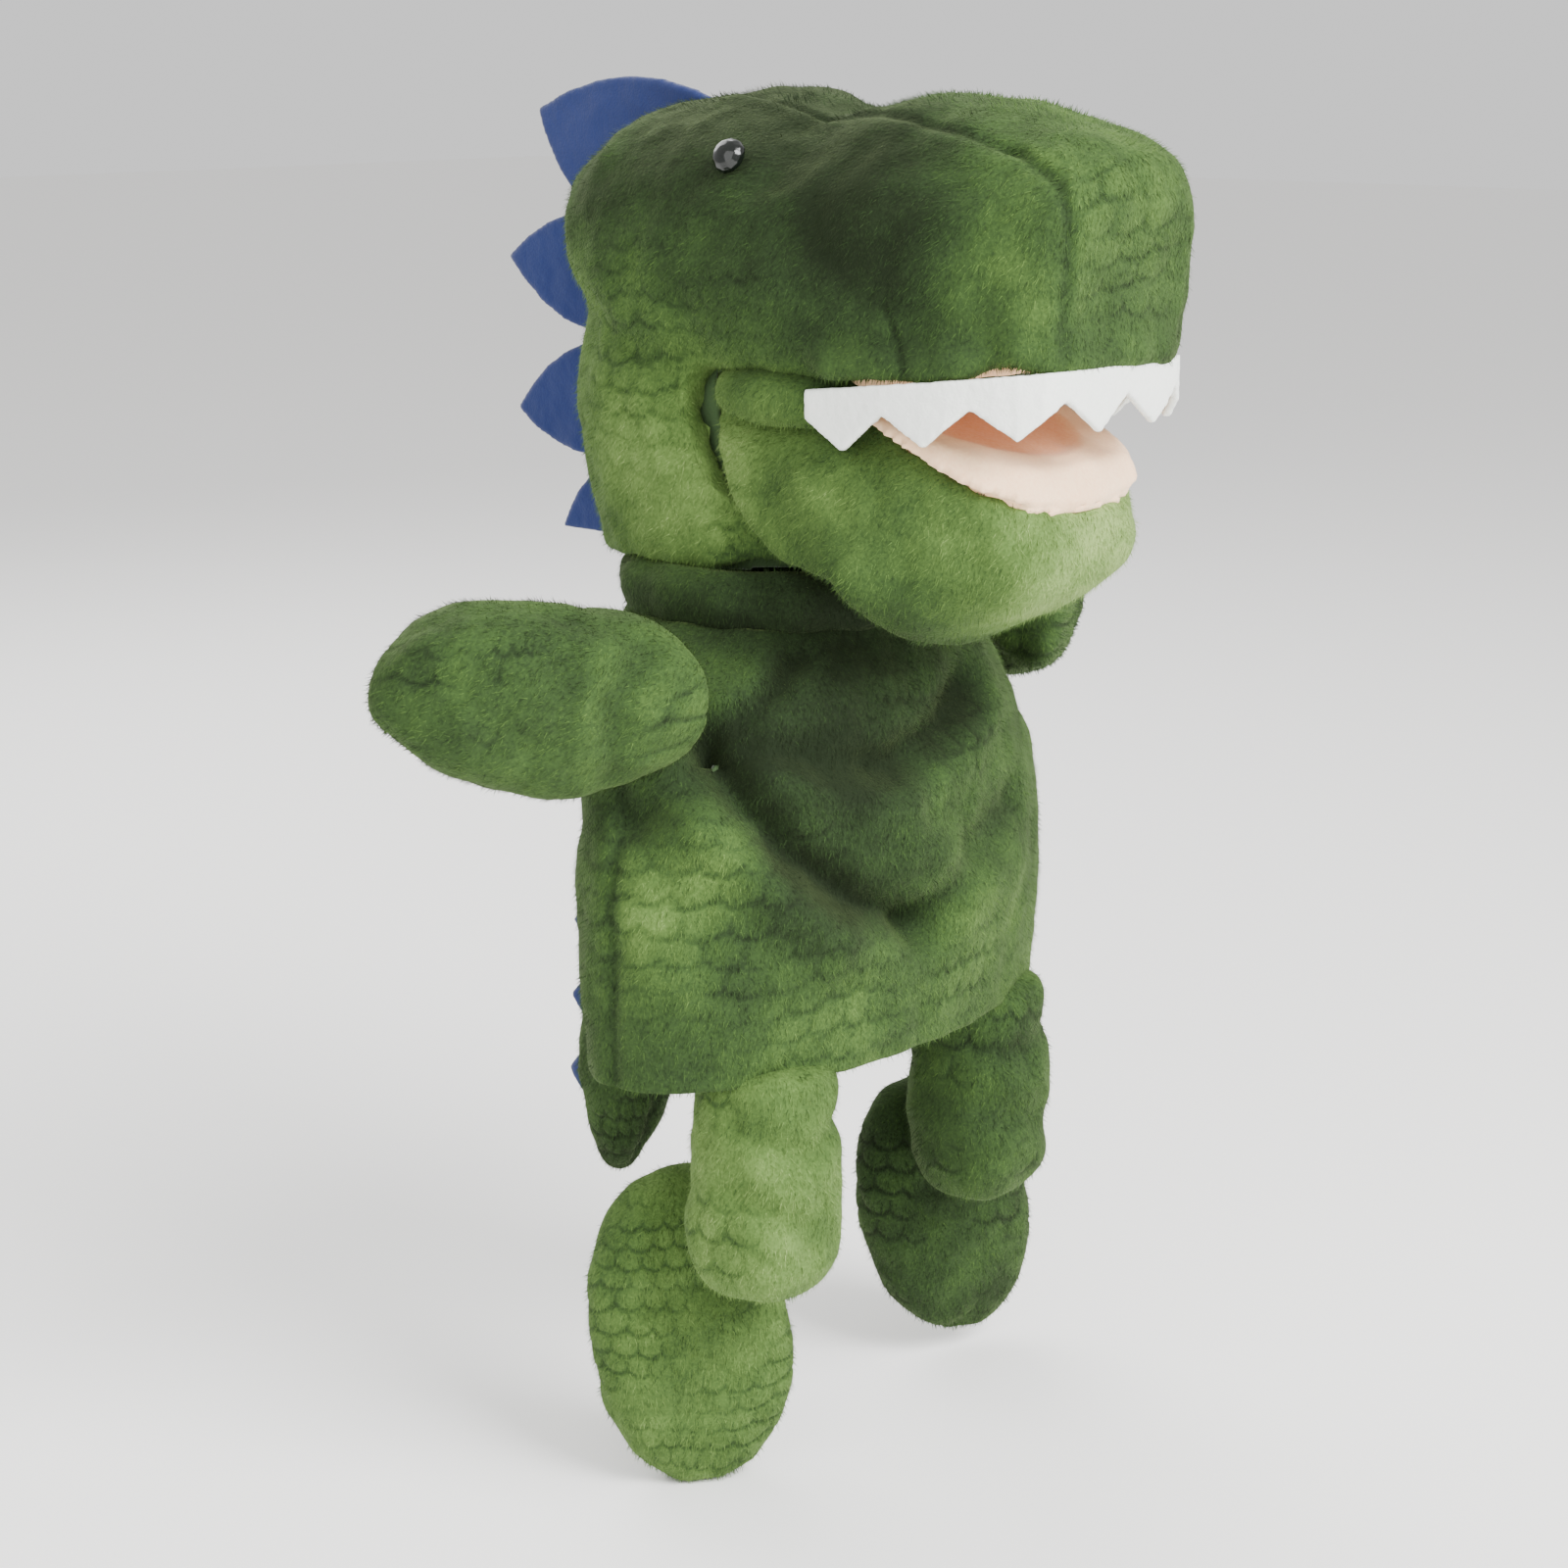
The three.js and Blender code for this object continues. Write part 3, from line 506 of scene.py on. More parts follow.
greens = ["#131d0c", "#203017", "#304620", "#465f2c", "#5f793e", "#7f9558"]
dull = {"Roughness": 0.95, "Specular IOR Level": 0.15, "Sheen Weight": 0.25, "Sheen Roughness": 0.5}
finish = {
    "plush": plushMaterial("dyed green plush", greens, False),
    "plushPile": plushMaterial("dyed green plush pile", greens, True),
    # Wool-mix felt, pressed: matted short hairs with no thread lines
    "blueFelt": clothMaterial("blue craft felt", ["#17234e", "#213166"], 0.6, dull),
    "whiteFelt": clothMaterial("white craft felt", ["#dee3dc", "#f6f8f2"], 0.6, dull),
    # Brushed polar fleece: soft and matt, deeper in tone where it lies in shade
    "fleece": clothMaterial("peach polar fleece", ["#e2976a", "#fbdcb4"], 0.8, dull),
    # Plain weave polyester lining, slightly smoother than the plush
    "lining": clothMaterial("green lining cloth", ["#33482a", "#48603a"], 0.5, {**dull, "Roughness": 0.75}),
    # Woven satin ribbon, blank
    "satin": clothMaterial(
        "white satin ribbon", ["#dfe0dc", "#f3f3ef"], 0.3, {"Roughness": 0.4, "Sheen Weight": 0.1}
    ),
    # Grey palate board, pressed fibre
    "board": clothMaterial("grey pressed board", ["#77746c", "#8b887f"], 0.5, {"Roughness": 0.8}),
}


def eyeMaterial():
    # Moulded acrylic safety eye, polished: near black with a sharp highlight and a clear coat
    made = bpy.data.materials.new("polished acrylic eye")
    made.use_nodes = True
    tree = made.node_tree
    shader = tree.nodes["Principled BSDF"]
    shader.inputs["Roughness"].default_value = 0.16
    shader.inputs["Specular IOR Level"].default_value = 0.35
    shader.inputs["IOR"].default_value = 1.49
    shader.inputs["Coat Weight"].default_value = 0.25
    shader.inputs["Coat Roughness"].default_value = 0.04
    place = addNode(tree, "ShaderNodeTexCoord").outputs["Object"]
    swirl = addNode(tree, "ShaderNodeTexNoise", Vector=place, Scale=1 / (4 * mm), Detail=2.0).outputs["Fac"]
    ramp = addNode(tree, "ShaderNodeValToRGB", Fac=swirl)
    for stop, text in zip(ramp.color_ramp.elements, ("#050705", "#0d120e")):
        stop.color = linear(text)
    tree.links.new(ramp.outputs["Color"], shader.inputs["Base Color"])
    return made


finish["eye"] = eyeMaterial()
print("finishes ready")


def dress(piece, material):
    piece.data.materials.clear()
    piece.data.materials.append(finish[material])
    piece.data.shade_smooth()


# Raised and sunk features on the plush, in mm: a line of points, its width, and its depth (below 0 stands up)
# sunk features are also painted darker, as painted shade, in step with their depth
creases = {
    "head": [
        ([(-27, -66, 212), (-27, -80, 203), (-27, -86, 190), (-27, -88, 175), (-26, -88, 158)], 1.5, 0.9),
        ([(27, -66, 212), (27, -80, 203), (27, -86, 190), (27, -88, 175), (26, -88, 158)], 1.5, 0.9),
        ([(-9, 45, 213), (-9, 24, 219), (-20, -25, 214), (-27, -59, 213), (-27, -70, 211)], 1.7, 1.1),
        ([(9, 45, 213), (9, 24, 219), (20, -25, 214), (27, -59, 213), (27, -70, 211)], 1.7, 1.1),
        ([(-42, -45, 172), (-43, -48, 165), (-42, -50, 156)], 1.1, 0.8),
        ([(42, -45, 172), (43, -48, 165), (42, -50, 156)], 1.1, 0.8),
        ([(0, 50, 211), (0, 66, 190), (0, 70, 165), (0, 66, 140), (0, 58, 110)], 5.0, -1.2),
        ([(-40, -12, 214), (0, -12, 219), (40, -12, 214)], 12, 2.6),
        ([(-26, 22, 216), (0, 24, 221), (26, 22, 216)], 18, 1.6),
        ([(-34, -55, 208), (0, -58, 217), (34, -55, 208)], 17, 0.2),
        ([(-46, -22, 186), (-46, -40, 178), (-44, -52, 172)], 9, 1.6),
        ([(-44, 2, 128), (-43, 10, 150), (-44, 8, 168)], 7, 1.2),
        ([(-26, -84, 163), (0, -88, 162), (26, -84, 163)], 10, -3.2),
        (
            [
                (-41, -30, 157), (-41, -50, 156), (-36, -76, 157), (0, -89, 157),
                (36, -76, 157), (41, -50, 156), (41, -30, 157),
            ],
            4.0,
            -3.6,
        ),
        ([(-44, -62, 190), (-46, -60, 165)], 12, -1.2),
        ([(44, -62, 190), (46, -60, 165)], 12, -1.2),
    ],
    "jaw": [
        ([(-37, -2, 148), (-38, -14, 130), (-34, -24, 112)], 6, 0.9),
        ([(-34, -34, 150), (-37, -44, 138), (-30, -62, 122)], 7, 0.8),
        ([(-30, -34, 117), (-14, -38, 109), (0, -38, 106), (14, -38, 109), (30, -34, 117)], 10, -4.8),
    ],
    "body": [
        ([(-64, -17, 88), (-59, -29, 70), (-50, -36, 56), (-30, -38, 41), (-6, -38, 30)], 5.0, 7.5),
        ([(-72, -10, 76), (-66, -26, 60), (-52, -38, 44), (-36, -38, 32)], 7, -4.0),
        ([(-50, -34, 76), (-30, -38, 70), (-12, -38, 52), (6, -38, 40)], 7, -3.6),
        ([(24, -34, 86), (4, -38, 76), (-16, -38, 71), (-36, -37, 74), (-54, -31, 84)], 5.5, 5.5),
        ([(30, -34, 78), (8, -38, 67), (-12, -38, 63)], 6, -2.6),
        ([(-8, -38, 30), (12, -38, 45), (34, -36, 52)], 6.0, 3.8),
        ([(10, -38, 33), (34, -36, 38)], 8, -2.0),
        ([(-75, -2, 64), (-73, -14, 72), (-66, -24, 78)], 6, 4.2),
        ([(75, -2, 64), (73, -14, 72), (66, -24, 78)], 6, 3.4),
        ([(-76, 3, 2), (-76, 3, 30), (-76, 3, 78)], 1.8, 1.4),
        ([(76, 3, 2), (76, 3, 30), (76, 3, 78)], 1.8, 1.4),
        ([(-34, -22, 102), (-48, -24, 92), (-62, -18, 84)], 4.0, 3.0),
        ([(-60, 30, 60), (-20, 44, 46), (30, 42, 56)], 9, 2.4),
        ([(50, 34, 30), (10, 44, 20), (-30, 42, 30)], 9, 1.8),
        ([(0, 45, 2), (0, 46, 50), (0, 44, 92)], 1.8, 1.2),
    ],
    "arm_right": [
        ([(-78, -16, 104), (-86, -12, 92), (-84, -12, 74)], 4.5, 2.0),
        ([(-90, -8, 112), (-96, -8, 98), (-92, -4, 80)], 5, 1.4),
        ([(-86, -14, 108), (-104, 0, 106), (-116, 14, 104)], 5, -0.8),
        ([(-118, 10, 100), (-108, 0, 92), (-100, 0, 84)], 4.5, 1.0),
    ],
    "arm_left": [
        ([(78, -16, 104), (86, -12, 92), (84, -12, 74)], 4.5, 2.0),
        ([(90, -8, 112), (96, -8, 98), (92, -4, 80)], 5, 1.4),
    ],
    "leg_right": [
        ([(-58, -20, -8), (-44, -32, -16), (-28, -30, -10)], 4, 1.8),
        ([(-58, -22, -24), (-46, -33, -32), (-34, -32, -38)], 4.5, 1.3),
        ([(-24, -8, -4), (-25, -14, -26), (-27, -10, -50)], 1.6, 1.0),
    ],
    "leg_left": [
        ([(26, -24, -10), (40, -32, -14), (56, -24, -6)], 4, 1.8),
        ([(28, -28, -26), (40, -33, -30), (56, -22, -36)], 4.5, 1.3),
    ],
    "foot_right": [
        ([(-58, 4, -60), (-46, -4, -56), (-30, -6, -50)], 4, 1.2),
        ([(-50, 0, -88), (-40, -4, -80), (-26, -6, -78)], 4, 0.8),
    ],
    "foot_left": [([(36, -6, -60), (50, -6, -56), (70, 0, -52)], 4, 1.2)],
    "tail": [([(0, 48, 16), (0, 50, -12), (0, 54, -40), (0, 60, -56)], 1.5, 1.0)],
}
# Scale pattern of each form: the place of its axis, cell size and groove depth in mm, and low and high, the
# patch noise at which it starts and is full. Zones are places (x, y, z, reach) where it always shows.
scales = {
    "head": {
        "middle": (0, -6, 170), "size": 6.2, "depth": 0.5, "low": 0.0, "high": 0.7, "seed": 3.0,
        "zones": [(-40, 25, 158, 24), (40, 25, 158, 24), (0, 62, 165, 26), (0, -88, 180, 20)],
    },
    "jaw": {"middle": (0, -30, 130), "size": 9.0, "depth": 0.12, "low": 0.1, "high": 0.9, "seed": 6.0},
    "body": {
        "middle": (0, 3, 50), "size": 6.4, "depth": 0.5, "low": 0.0, "high": 0.7, "seed": 9.0,
        "zones": [
            (-62, -20, 44, 20), (-70, 0, 40, 20), (-34, -36, 14, 22), (14, -36, 74, 16), (0, 44, 40, 40),
        ],
    },
    "arm_right": {"middle": (-96, 2, 92), "size": 6.0, "depth": 0.4, "low": -0.1, "high": 0.3, "seed": 4.0},
    "arm_left": {"middle": (96, 4, 92), "size": 6.0, "depth": 0.4, "low": -0.1, "high": 0.3, "seed": 5.0},
    "leg_right": {"middle": (-41, -15, -28), "size": 8.0, "depth": 0.3, "low": 0.0, "high": 0.5, "seed": 7.0},
    "leg_left": {"middle": (41, -15, -28), "size": 8.0, "depth": 0.3, "low": 0.0, "high": 0.5, "seed": 8.0},
    "foot_right": {
        "middle": (-38, 16, -68), "size": 5.2, "depth": 0.35, "low": -0.3, "high": 0.3, "seed": 2.0,
    },
    "foot_left": {"middle": (56, 14, -66), "size": 6.4, "depth": 0.4, "low": -0.2, "high": 0.2, "seed": 1.0},
    "tail": {"middle": (0, 62, -18), "size": 5.4, "depth": 0.3, "low": -0.2, "high": 0.3, "seed": 11.0},
}
# Common tone of each form where no patch reaches
commonTone = {
    "head": 0.42, "jaw": 0.6, "body": 0.34, "arm_right": 0.36, "arm_left": 0.34, "leg_right": 0.68,
    "leg_left": 0.34, "foot_right": 0.58, "foot_left": 0.28, "tail": 0.26,
}
# How far a form is drawn in, in mm, so that its pile ends where the cloth should
insets = {"head": 1.4, "jaw": 0.4, "body": 0.3, "foot_right": 0.4, "foot_left": 0.4}
napDown = {
    "head": (0.1, 0.45, -1),
    "jaw": (0, 0.5, -1),
    "arm_right": (-1, 0.3, -0.5),
    "arm_left": (1, 0.3, -0.5),
}


def soleShare(places, name):
    # 1 where the sole's cloth is nearer than the foot's top, 0 elsewhere
    upper, under = (treeOf([f"{name}_{part}"]) for part in ("top", "sole"))
    reach = [[tree.find_nearest(Vector(point))[3] for point in places] for tree in (upper, under)]
    return np.clip((np.array(reach[0]) - np.array(reach[1])) / mm + 0.5, 0, 1)


# Cloth surface, in mm: how far it wanders, and the flat place round each eye
skin = {
    "wander": 0.9,
    "wanderSize": 13,
    "eye": (34, -2, 201),
    "eyeFlat": 11,
    "bend": 3,
    "bendSize": 20,
    "stray": 0.35,
}


def detail(piece, name):
    # sinks seams and folds, embosses the scales, and stores tone, painted shade in the seams, folds and scale
    # grooves, and pile direction
    mesh = piece.data
    places, outward = points(mesh), normals(mesh)
    sink = np.zeros(len(places))
    seamFoldShade = np.zeros(len(places))
    sink += insets.get(name, 0.0)
    graph = bpy.context.evaluated_depsgraph_get()
    surface = BVHTree.FromObject(piece, graph)
    for line, width, depth in creases[name]:
        near = soft(away(places, line, surface), width)
        sink += near * depth
        # sunk seams and folds are also painted darker: painted shade
        if width < 3:
            seamFoldShade = np.maximum(seamFoldShade, near * 0.6)
        elif depth > 0:
            seamFoldShade = np.maximum(seamFoldShade, near * min(0.16 * depth, 0.9))
    sink += skin["wander"] * roughness(places, skin["wanderSize"], 2, 21.0)
    if name == "head":  # the cloth lies flat round the eyes
        for side in (-1, 1):
            eye = np.array(skin["eye"]) * (side, 1, 1)
            sink *= 1 - soft(np.linalg.norm(places / mm - eye, axis=1), skin["eyeFlat"])
    facts = scales[name]
    across, up = turned(places, facts["middle"])
    bend = roughness(places, skin["bendSize"], 1, 31.0) * skin["bend"]
    cells = scaleCells(across + bend, up + bend, facts["size"])
    cells *= patchy(places, 24, facts["seed"], facts["low"], facts["high"])
    for x, y, z, size in facts.get("zones", ()):
        zone = soft(np.linalg.norm(places / mm - (x, y, z), axis=1), size)
        cells = np.maximum(cells, zone * scaleCells(across + bend, up + bend, facts["size"]))
    cells *= np.clip(1.3 - np.abs(outward[:, 2]) * 1.2, 0, 1)
    sink += cells * facts["depth"]
    setPoints(mesh, places - outward * sink[:, None] * mm)
    store(mesh, "tone", dyeTone(places, commonTone[name]))
    # painted shade: darker colour in the sunk seams, folds and scale grooves
    store(mesh, "groove", np.clip(seamFoldShade + cells * 0.85, 0, 1))
    if name.startswith("foot"):
        store(mesh, "sole", soleShare(places, name))
    lay = np.array(napDown.get(name, (0, 0.1, -1)), float)
    lay = lay - outward * (outward @ lay)[:, None]
    lay += skin["stray"] * np.stack([roughness(places, 10, 1, seed) for seed in (41.0, 43.0, 47.0)], 1)
    store(mesh, "nap", lay / np.linalg.norm(lay, axis=1, keepdims=True).clip(1e-6), "FLOAT_VECTOR")


# Small corrections of each form: its shift in mm, its stretch downwards from its top, and its width along it
jowl = {"y": -14, "z": 108, "reach": 20, "drop": 4.5, "wider": 0.05}
armWidth = ((0, 0.2, 0.45, 0.8, 1), (1.25, 1.12, 1.0, 0.93, 0.72))
legWidth = {
    "right": ((0, 0.2, 0.5, 0.8, 1), (1.15, 1.0, 1.0, 1.12, 1.1)),
    "left": ((0, 0.2, 0.5, 0.8, 1), (1.15, 1.0, 1.0, 1.08, 1.05)),
}
jawDrop = {"pivot": (0, -25, 153.5), "degrees": 3.5}
nudges = {
    "jaw": {"shift": (0, 0, 0), "stretch": 1.0},
    "foot_right": {"shift": (1.0, 0, 0), "stretch": 1.07},
    "foot_left": {"shift": (3.4, -2.0, 0), "stretch": 1.0},
    "arm_right": {"shift": (0, 0, 1.5), "stretch": 1.0, "width": armWidth},
    "arm_left": {"shift": (0, 0, 1.5), "stretch": 1.0, "width": armWidth},
    "leg_right": {"shift": (0, 0, 0), "stretch": 1.0, "width": legWidth["right"]},
    "leg_left": {"shift": (0, 0, 0), "stretch": 1.0, "width": legWidth["left"]},
}


def dropJaw(places):
    turn = np.array(Matrix.Rotation(math.radians(jawDrop["degrees"]), 3, "X"))
    pivot = np.array(jawDrop["pivot"]) * mm
    return (places - pivot) @ turn.T + pivot


def nudge(piece, name):
    facts = nudges[name]
    places = points(piece.data)
    top = places[:, 2].max()
    places[:, 2] = top + (places[:, 2] - top) * facts["stretch"]
    if name == "jaw":  # its cloth hangs fuller towards the neck
        share = soft(np.hypot(places[:, 1] / mm - jowl["y"], places[:, 2] / mm - jowl["z"]), jowl["reach"])
        places[:, 2] -= share * jowl["drop"] * mm
        places[:, 0] *= 1 + jowl["wider"] * share
    if "width" in facts:
        way, pivot = np.array(roots[name]["way"]), np.array(roots[name]["pivot"]) * mm
        along = (places - pivot) @ way
        share = (along - along.min()) / (along.max() - along.min())
        wide = np.interp(share, *facts["width"])[:, None]
        axis = pivot + along[:, None] * way
        places = axis + (places - axis) * wide
    if name == "jaw":
        places = dropJaw(places)
    setPoints(piece.data, places + np.array(facts["shift"]) * mm)


# Where each form joins its neighbour: its end is drawn in by pull mm, over the last reach mm. It bends
# between from and to, in mm along way.
roots = {
    "arm_right": {
        "pivot": (-78.5, 0.5, 87.5), "way": (-0.866, 0.5, 0), "from": -8, "to": 9, "pull": 14, "reach": 10,
    },
    "arm_left": {
        "pivot": (77.7, 1.8, 87.5), "way": (0.788, 0.616, 0), "from": -8, "to": 9, "pull": 14, "reach": 10,
    },
    "leg_right": {"pivot": (-41, -15, -17.3), "way": (0, 0, -1), "from": -16, "to": 8, "pull": 9, "reach": 9},
    "leg_left": {"pivot": (41, -15, -17.3), "way": (0, 0, -1), "from": -16, "to": 8, "pull": 9, "reach": 9},
    "tail": {"pivot": (0, 57.5, 17.5), "way": (0, 0.75, -0.66), "from": -6, "to": 16, "pull": 9, "reach": 12},
}


def drawIn(piece, name):
    facts = roots[name]
    way = np.array(facts["way"], float)
    places = points(piece.data)
    along = (places / mm - facts["pivot"]) @ way
    share = np.clip((along.min() + facts["reach"] - along) / facts["reach"], 0, 1)
    setPoints(piece.data, places - way * (share * facts["pull"])[:, None] * mm)


# The pile: short leaning hairs, one thin triangle each
pile = {"perSquareMm": 1.7, "length": 1.7, "sunk": 0.2, "width": 0.22, "rise": 0.42, "stray": 0.55}


def hairShape():
    mesh = bpy.data.meshes.new("hair")
    half = pile["width"] / 2 * mm
    root, tip = -pile["sunk"] * mm, pile["length"] * mm
    mesh.from_pydata([(-half, 0, root), (half, 0, root), (0, 0, tip)], [], [(0, 1, 2)])
    return linked("hair", mesh)


def pileTree():
    tree = bpy.data.node_groups.new("pile", "GeometryNodeTree")
    face = tree.interface
    face.new_socket("Geometry", in_out="OUTPUT", socket_type="NodeSocketGeometry")
    sockets = {"Surface": "Geometry", "Hair": "Object", "Density": "Float", "Rise": "Float", "Stray": "Float"}
    sockets |= {"Seed": "Int", "Finish": "Material"}
    for label, kind in sockets.items():
        face.new_socket(label, in_out="INPUT", socket_type="NodeSocket" + kind)
    given = addNode(tree, "NodeGroupInput").outputs
    spread = addNode(
        tree,
        "GeometryNodeDistributePointsOnFaces",
        Mesh=given["Surface"],
        Density=given["Density"],
        Seed=given["Seed"],
    )
    vector, number = {"data_type": "FLOAT_VECTOR"}, {"data_type": "FLOAT"}
    nap = addNode(tree, "GeometryNodeInputNamedAttribute", vector, Name="nap").outputs["Attribute"]
    up = addNode(tree, "ShaderNodeVectorMath", scaleIt, at0=spread.outputs["Normal"], Scale=given["Rise"])
    any3 = addNode(
        tree, "FunctionNodeRandomValue", vector, at0=(-1, -1, -1), at1=(1, 1, 1), Seed=given["Seed"]
    )
    stray = addNode(tree, "ShaderNodeVectorMath", scaleIt, at0=any3.outputs[0], Scale=given["Stray"])
    way = addNode(tree, "ShaderNodeVectorMath", {"operation": "ADD"}, at0=up.outputs[0], at1=nap)
    way = addNode(
        tree, "ShaderNodeVectorMath", {"operation": "ADD"}, at0=way.outputs[0], at1=stray.outputs[0]
    )
    turn = addNode(
        tree,
        "FunctionNodeAxesToRotation",
        {"primary_axis": "Z", "secondary_axis": "Y"},
        at0=way.outputs[0],
        at1=spread.outputs["Normal"],
    )
    hair = addNode(tree, "GeometryNodeObjectInfo", Object=given["Hair"]).outputs["Geometry"]
    size = addNode(tree, "FunctionNodeRandomValue", number, at2=0.6, at3=1.25, Seed=given["Seed"])
    placed = addNode(
        tree,
        "GeometryNodeInstanceOnPoints",
        Points=spread.outputs["Points"],
        Instance=hair,
        Rotation=turn.outputs[0],
        Scale=size.outputs[1],
    )
    shade = addNode(tree, "FunctionNodeRandomValue", number, at2=0.0, at3=1.0)
    marked = addNode(
        tree,
        "GeometryNodeStoreNamedAttribute",
        {"data_type": "FLOAT", "domain": "INSTANCE"},
        Geometry=placed.outputs[0],
        Name="strand",
        Value=shade.outputs[1],
    )
    real = addNode(tree, "GeometryNodeRealizeInstances", Geometry=marked.outputs[0])
    named = addNode(tree, "GeometryNodeSetMaterial", Geometry=real.outputs[0], Material=given["Finish"])
    addNode(tree, "NodeGroupOutput", Geometry=named.outputs[0])
    return tree, {item.name: item.identifier for item in face.items_tree if item.in_out == "INPUT"}


hair = hairShape()
pileNodes, pileInputs = pileTree()


def growPile(piece, material, seed):
    name = piece.name.replace("_plush", "") + "_pile"
    coat = linked(name, piece.data.copy())
    grow = coat.modifiers.new("pile", "NODES")
    grow.node_group = pileNodes
    values = {"Hair": hair, "Density": pile["perSquareMm"] / mm**2, "Rise": pile["rise"]}
    values |= {"Stray": pile["stray"], "Seed": seed, "Finish": finish[material]}
    for label, value in values.items():
        grow[pileInputs[label]] = value
    settle(coat)
    print(name, "has", len(coat.data.polygons), "hairs")
    return coat


# The hand sleeve, its lining and its hem: walls laid over the CAD panels and closed at both ends
walls = {"across": 300, "levels": 400, "middle": (0.0, 3.0)}


def wallGrid(nodes, low, high, rows):
    # the panels' outer surface, as rows of points evenly spaced up the cloth
    tree = treeOf(nodes)
    middle = Vector((*walls["middle"], 0)) * mm
    sampled = np.zeros((walls["levels"], walls["across"], 3))
    for level, height in enumerate(np.linspace(low, high, walls["levels"])):
        for k in range(walls["across"]):
            turn = 2 * math.pi * k / walls["across"]
            out = Vector((math.sin(turn), -math.cos(turn), 0))
            start = Vector((middle.x, middle.y, height * mm)) + out * 0.3
            hit = tree.ray_cast(start, -out)[0]
            sampled[level, k] = hit if hit is not None else (np.nan,) * 3
    for k in range(walls["across"]):  # a ray that slips through a seam takes its neighbour's place
        lost = np.isnan(sampled[:, k, 0])
        sampled[lost, k] = sampled[lost, k - 1]
    for _ in range(6):
        sampled = sampled * 0.5 + 0.25 * (np.roll(sampled, 1, 1) + np.roll(sampled, -1, 1))
        sampled[1:-1] = sampled[1:-1] * 0.5 + 0.25 * (sampled[2:] + sampled[:-2])
    step = np.linalg.norm(np.diff(sampled, axis=0), axis=2)
    run = np.concatenate([np.zeros((1, walls["across"])), np.cumsum(step, 0)])
    grid = np.zeros((rows, walls["across"], 3))
    for k in range(walls["across"]):
        at = np.linspace(0, run[-1, k], rows)
        for axis in range(3):
            grid[:, k, axis] = np.interp(at, run[:, k], sampled[:, k, axis])
    return grid


def gridFaces(rows, across):
    k = np.arange(across)
    faces = []
    for row in range(rows - 1):
        low, high = row * across, (row + 1) * across
        ring = [low + k, low + (k + 1) % across, high + (k + 1) % across, high + k]
        faces += np.stack(ring, 1).tolist()
    return faces


def wallPiece(name, grid):
    rows, across = grid.shape[:2]
    mesh = bpy.data.meshes.new(name)
    mesh.from_pydata(grid.reshape(-1, 3).tolist(), [], gridFaces(rows, across))
    mesh.update()
    return linked(name, mesh)


def closeWall(piece, thick, across):
    mesh = piece.data
    places, outward = points(mesh), normals(mesh)
    count = len(places)
    inner = places - outward * thick * mm
    faces = [list(f.vertices) for f in mesh.polygons]
    flipped = [[v + count for v in reversed(face)] for face in faces]
    k = np.arange(across)
    top = count - across
    low = np.stack([k, k + count, (k + 1) % across + count, (k + 1) % across], 1).tolist()
    after = (k + 1) % across
    high = np.stack([top + k, top + after, top + after + count, top + k + count], 1).tolist()
    whole = bpy.data.meshes.new(piece.name)
    whole.from_pydata(np.concatenate([places, inner]).tolist(), [], faces + flipped + low + high)
    whole.update()
    for layer in list(mesh.attributes):
        if layer.name in ("tone", "groove", "nap"):
            kind, field, width = ("FLOAT", "value", 1)
            if layer.name == "nap":
                kind, field, width = ("FLOAT_VECTOR", "vector", 3)
            values = np.empty(count * width, np.float32)
            layer.data.foreach_get(field, values)
            store(whole, layer.name, np.concatenate([values, values]), kind)
    piece.data = whole


sleeve = {"panels": ["body_front", "body_back"], "low": 0.6, "high": 99.4, "thick": 2.2, "rows": 96}
bodyGrid = wallGrid(sleeve["panels"], sleeve["low"], sleeve["high"], sleeve["rows"])
print("sleeve sampled")
bodyPiece = wallPiece("body_plush", bodyGrid)
forms["body"] = bodyPiece


# Details on every plush form, then its pile, then its body
bodyOf = {"head": "head", "jaw": "jaw", "body": "torso", "tail": "tail"}
for side in ("right", "left"):
    bodyOf |= {f"{part}_{side}": f"{part}_{side}" for part in ("arm", "leg", "foot")}
replaced = {name: facts["nodes"] for name, facts in plush.items()} | {"body": sleeve["panels"]}
for name, piece in forms.items():
    if name in nudges:
        nudge(piece, name)
    if name in roots:
        drawIn(piece, name)
    detail(piece, name)
pieces = {}
for seed, (name, piece) in enumerate(forms.items()):
    coat = growPile(piece, "plushPile", seed=seed + 1)
    if name == "body":
        closeWall(piece, sleeve["thick"], walls["across"])
    dress(piece, "plush")
    pieces[name] = (piece, coat)

for name, (piece, coat) in pieces.items():
    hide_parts(*replaced[name])
    for one in (piece, coat):
        if name in roots:
            facts = roots[name]
            pivot, way = np.array(facts["pivot"]), np.array(facts["way"])
            start, end = (tuple((pivot + way * facts[k]) * mm) for k in ("from", "to"))
            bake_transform(one, "torso", bodyOf[name], start=start, end=end)
        else:
            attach(one, bodyOf[name])
print("plush pieces placed")


# Layers inside the sleeve follow its folds: heights and thicknesses in mm
layers = {
    "inset": 2.5,
    "hemTop": 13.3,
    "liningTop": 87.0,
    "hem": {"thick": 1.6, "finish": "plush", "slot": "plush", "node": "hem_band", "tone": 0.4},
    "lining": {
        "thick": 1.0, "finish": "lining", "slot": "lining_cloth", "node": "sleeve_lining", "tone": 0.5,
    },
}


def layerInside(name, low, high, facts):
    across = walls["across"]
    outward = sleeveOutward[low:high].reshape(-1, 3)
    grid = outerGrid[low:high].reshape(-1, 3) - outward * layers["inset"] * mm
    piece = linked(name, bpy.data.meshes.new(name))
    piece.data.from_pydata(grid.tolist(), [], gridFaces(high - low, across))
    piece.data.update()
    relax(piece, 2)
    store(piece.data, "tone", np.full(len(grid), facts["tone"]))
    closeWall(piece, facts["thick"], across)
    dress(piece, facts["finish"])
    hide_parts(facts["node"])
    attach(piece, "torso")


